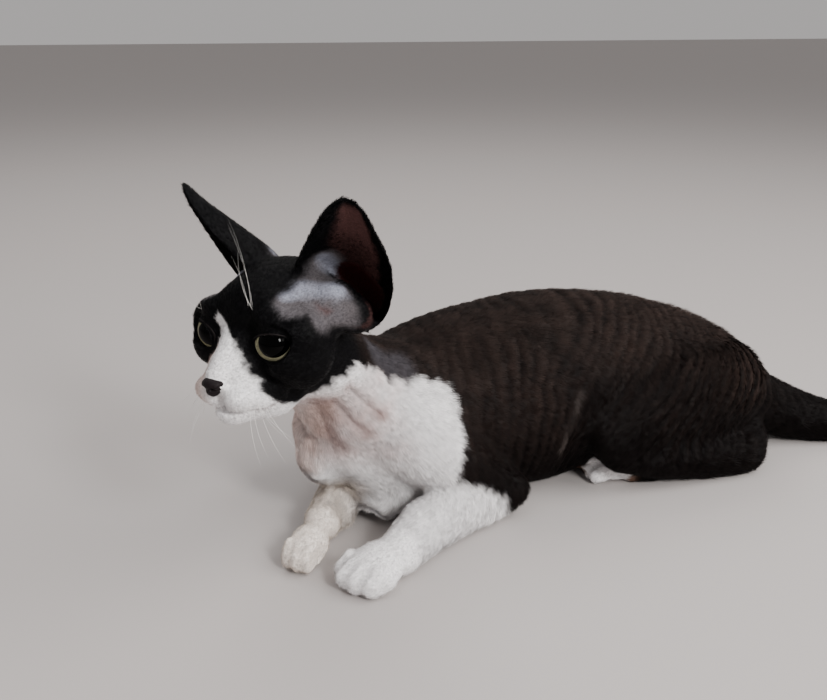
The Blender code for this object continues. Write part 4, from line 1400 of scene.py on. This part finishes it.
# %% Nose
NOSE_OVALS = (
    ((29.3, 0.0, -17.0), (4.3, 5.3, 3.2)),
    ((29.0, 0.2, -19.9), (4.1, 3.6, 4.0)),
    ((28.4, 3.4, -17.6), (4.1, 2.7, 2.8)),
    ((28.4, -3.4, -17.6), (4.1, 2.7, 2.8)),
)
NOSTRIL = ((29.2, 5.2, -18.0), (30.6, 4.2, -18.4), (31.8, 3.1, -18.9), (32.6, 2.3, -18.9))


def head_ball(bm, middle, radii):
    made = bmesh.ops.create_uvsphere(bm, u_segments=28, v_segments=20, radius=1)["verts"]
    for vert in made:
        vert.co = head_place(np.array(middle) + np.array(vert.co) * radii)


def nose_object():
    bm = bmesh.new()
    for middle, radii in NOSE_OVALS:
        head_ball(bm, middle, radii)
    bmesh.ops.recalc_face_normals(bm, faces=bm.faces)
    mesh = bpy.data.meshes.new("nose")
    bm.to_mesh(mesh)
    bm.free()
    mesh = after_modifier(mesh, "REMESH", mode="VOXEL", voxel_size=0.00032)
    points = points_of(mesh)
    points = relaxed(points, edges_of(mesh), np.full(len(points), 0.5), 10)
    place_points(mesh, points)
    normals = normals_of(mesh)
    local = in_head(points)
    sided = local * (1, 1, 1)
    sided[:, 1] = abs(local[:, 1])
    distance, along = to_path(sided, smooth_path(NOSTRIL, 16))
    pit = np.exp(-((distance / 1.0) ** 2) * 1.6)
    cleft = np.exp(-((local[:, 1] / 0.5) ** 2)) * step_up(-local[:, 2], 17.5, 20)
    place_points(mesh, points - normals * (1.6 * pit + 0.35 * cleft)[:, None] * MM)
    put_values(mesh, "pit", "FLOAT", pit)
    mesh.name = "nose_leather"
    mesh.shade_smooth()
    obj = bpy.data.objects.new("nose_leather", mesh)
    bpy.context.scene.collection.objects.link(obj)
    return obj


def make_nose_finish():
    material, shader = plain_material("Black nose leather", 0.5, Specular_IOR_Level=0.12)
    tree = material.node_tree
    fine = varied(material, (0.008, 0.005, 0.006), 2600, 0.35)
    tree.links.new(fine.outputs["Colour"], shader.inputs["Base Color"])
    bumped(tree, shader, fine.outputs["Height"], 0.5, 0.0003)
    return material


nose = nose_object()
nose.data.materials.clear()
nose.data.materials.append(make_nose_finish())
print("nose:", len(nose.data.polygons), "faces")

# %% [markdown]
# ## Whiskers and brow hairs
#
# They are single stiff hairs, white and tapered. Each starts on the skin and bends away. Their lines
# are drawn as edges with a thickness at each point, and Geometry Nodes sweep a small round section
# along them all at once.

# %% Whiskers
BROW_HAIRS = (
    ((7.5, 10.6, 16.6), (2.8, -1.4, 58.7), 2.2),
    ((7.6, 11.8, 15.6), (4.8, 5.0, 45.4), -2.5),
    ((7.8, 9.0, 16.8), (6.7, 1.6, 41.3), 1.2),
    ((7.2, 10.0, 17.4), (9.3, 8.4, 36.4), -1.2),
    ((6.9, 11.2, 17.0), (-1.0, -6.0, 54.0), 1.8),
    ((8.3, -24.8, 10.4), (20.6, -12.5, 22.9), 1.0),
    ((7.5, -25.6, 11.2), (19.0, -17.0, 25.7), 1.0),
    ((8.2, -24, 11), (17.0, -27.0, 22.0), -1.0),
)
PAD_HAIRS = (
    (20, 13, -29, 28.5, 25.2, -56.5),
    (18.5, 14.5, -29, 24.8, 27.1, -53),
    (17, 16, -28, 15.4, 35.5, -44.7),
    (15.5, 17.5, -27, 15.5, 39.8, -51.2),
    (18, 15, -26, 22, 36, -40),
    (16, 16, -30, 16, 30, -60),
)


def hair_object():
    """Edges along every whisker, rooted on the skin, with a tapering thickness."""
    tree = surface_tree(skin_mesh, skin_points)
    places, joins, widths = [], [], []

    def one_hair(root, tip, sag, thickness, count=14):
        root, tip = np.array(root, float), np.array(tip, float)
        root = in_head(np.array(tree.find_nearest(Vector(head_place(root)))[0]))
        across = np.cross(tip - root, (0.3, 1.0, 0.2))
        across /= np.linalg.norm(across)
        for k in range(count):
            t = k / (count - 1)
            place = root + (tip - root) * t + across * sag * 4 * t * (1 - t)
            if k:
                joins.append((len(places) - 1, len(places)))
            places.append(head_place(place))
            widths.append(thickness * (1 - 0.85 * t) * MM)

    for root, tip, sag in BROW_HAIRS:
        one_hair(root, tip, sag, 0.05)
    for side in (1, -1):
        for x, y, z, tip_x, tip_y, tip_z in PAD_HAIRS:
            one_hair((x, side * y, z), (tip_x, side * tip_y, tip_z), 1.5, 0.10)
    mesh = bpy.data.meshes.new("whisker_lines")
    mesh.from_pydata(places, joins, [])
    put_values(mesh, "thickness", "FLOAT", widths)
    obj = bpy.data.objects.new("whisker_lines", mesh)
    bpy.context.scene.collection.objects.link(obj)
    return obj


def make_whisker_tree():
    tree = bpy.data.node_groups.new("Sweep whiskers", "GeometryNodeTree")
    tree.interface.new_socket("Geometry", in_out="INPUT", socket_type="NodeSocketGeometry")
    tree.interface.new_socket("Sides", in_out="INPUT", socket_type="NodeSocketInt")
    tree.interface.new_socket("Finish", in_out="INPUT", socket_type="NodeSocketMaterial")
    tree.interface.new_socket("Geometry", in_out="OUTPUT", socket_type="NodeSocketGeometry")
    nodes, link = tree.nodes, tree.links.new
    start, end = nodes.new("NodeGroupInput"), nodes.new("NodeGroupOutput")
    lines = nodes.new("GeometryNodeMeshToCurve")
    link(start.outputs["Geometry"], lines.inputs[0])
    section = nodes.new("GeometryNodeCurvePrimitiveCircle")
    section.inputs["Radius"].default_value = 1
    link(start.outputs["Sides"], section.inputs["Resolution"])
    sweep = nodes.new("GeometryNodeCurveToMesh")
    sweep.inputs["Fill Caps"].default_value = True
    link(lines.outputs[0], sweep.inputs["Curve"])
    link(named_value(tree, "thickness", "FLOAT"), sweep.inputs["Scale"])
    link(section.outputs["Curve"], sweep.inputs["Profile Curve"])
    real = nodes.new("GeometryNodeRealizeInstances")
    link(sweep.outputs[0], real.inputs[0])
    finish = nodes.new("GeometryNodeSetMaterial")
    link(real.outputs[0], finish.inputs["Geometry"])
    link(start.outputs["Finish"], finish.inputs["Material"])
    link(finish.outputs[0], end.inputs[0])
    return tree


WHISKER_FINISH, _ = plain_material("White whisker", 0.35, Base_Color=(0.85, 0.83, 0.80, 1))
lines = hair_object()
whiskers = grown_from(lines, make_whisker_tree(), "whiskers", {"Sides": 6, "Finish": WHISKER_FINISH})
bpy.data.objects.remove(lines)
print("whiskers:", len(whiskers.data.polygons), "faces")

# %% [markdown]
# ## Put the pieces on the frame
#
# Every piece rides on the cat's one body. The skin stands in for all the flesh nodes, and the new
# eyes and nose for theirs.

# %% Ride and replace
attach(skin, "root")
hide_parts(*FLESH)
for piece in coat_pieces:
    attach(piece, "root")
for side_name, side in SIDES:
    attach(eyes[side_name], "root")
    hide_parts("eye_" + side_name)
for lid in lids:
    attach(lid, "root")
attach(nose, "root")
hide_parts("nose")
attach(whiskers, "root")

# %% [markdown]
# ## Light, floor and camera
#
# A pale floor and four soft lamps show black fur without glare: a large lamp high on the right, a
# small lamp in front for the eye's highlight, a wide fill from above on the left and a lamp behind.

# %% Studio
def soft_lamp(name, place, aim, size, power, colour):
    data = bpy.data.lights.new(name, "AREA")
    data.shape = "RECTANGLE"
    data.size, data.size_y = size
    data.energy = power
    data.color = colour
    lamp = bpy.data.objects.new(name, data)
    lamp.location = place
    lamp.rotation_euler = (Vector(aim) - Vector(place)).to_track_quat("-Z", "Y").to_euler()
    bpy.context.scene.collection.objects.link(lamp)


def studio():
    bm = bmesh.new()
    bmesh.ops.create_grid(bm, x_segments=1, y_segments=1, size=14)
    mesh = bpy.data.meshes.new("studio_floor")
    bm.to_mesh(mesh)
    bm.free()
    floor = bpy.data.objects.new("studio_floor", mesh)
    bpy.context.scene.collection.objects.link(floor)
    material, _ = plain_material("Pale floor", 0.8, Base_Color=(0.44, 0.41, 0.40, 1))
    mesh.materials.append(material)
    soft_lamp("window_lamp", (0.95, -0.85, 1.35), (-0.1, 0, 0.1), (1.5, 1.5), 30, (1.0, 0.97, 0.94))
    soft_lamp("small_lamp", (0.17, -1.22, 0.83), (-0.2, -0.1, 0.15), (0.24, 0.34), 17, (1.0, 0.98, 0.96))
    soft_lamp("fill_lamp", (-0.5, -0.2, 2.4), (-0.1, 0, 0.1), (2.0, 2.0), 14, (0.92, 0.95, 1.0))
    soft_lamp("back_lamp", (0.0, 1.1, 1.8), (0, 0, 0.1), (1.6, 1.0), 14, (1.0, 0.97, 0.93))
    world = bpy.data.worlds.new("soft_room")
    world.use_nodes = True
    world.node_tree.nodes["Background"].inputs["Color"].default_value = (0.82, 0.79, 0.78, 1)
    world.node_tree.nodes["Background"].inputs["Strength"].default_value = 0.56
    bpy.context.scene.world = world


CAMERA_PLACE = (-0.2736, -0.5397, 0.325)
CAMERA_TURN, CAMERA_RISE = math.radians(-20), math.radians(20.5)
FOCAL_PIXELS, PHOTO_WIDTH = 880, 827


def camera():
    back = Vector((
        math.sin(CAMERA_TURN) * math.cos(CAMERA_RISE),
        -math.cos(CAMERA_TURN) * math.cos(CAMERA_RISE),
        math.sin(CAMERA_RISE),
    ))
    data = bpy.data.cameras.new("photo_camera")
    data.sensor_width = 36
    data.lens = 36 * FOCAL_PIXELS / PHOTO_WIDTH
    made = bpy.data.objects.new("photo_camera", data)
    made.location = CAMERA_PLACE
    made.rotation_euler = (-back).to_track_quat("-Z", "Y").to_euler()
    bpy.context.scene.collection.objects.link(made)
    bpy.context.scene.camera = made


studio()
camera()
print("camera at", CAMERA_PLACE)
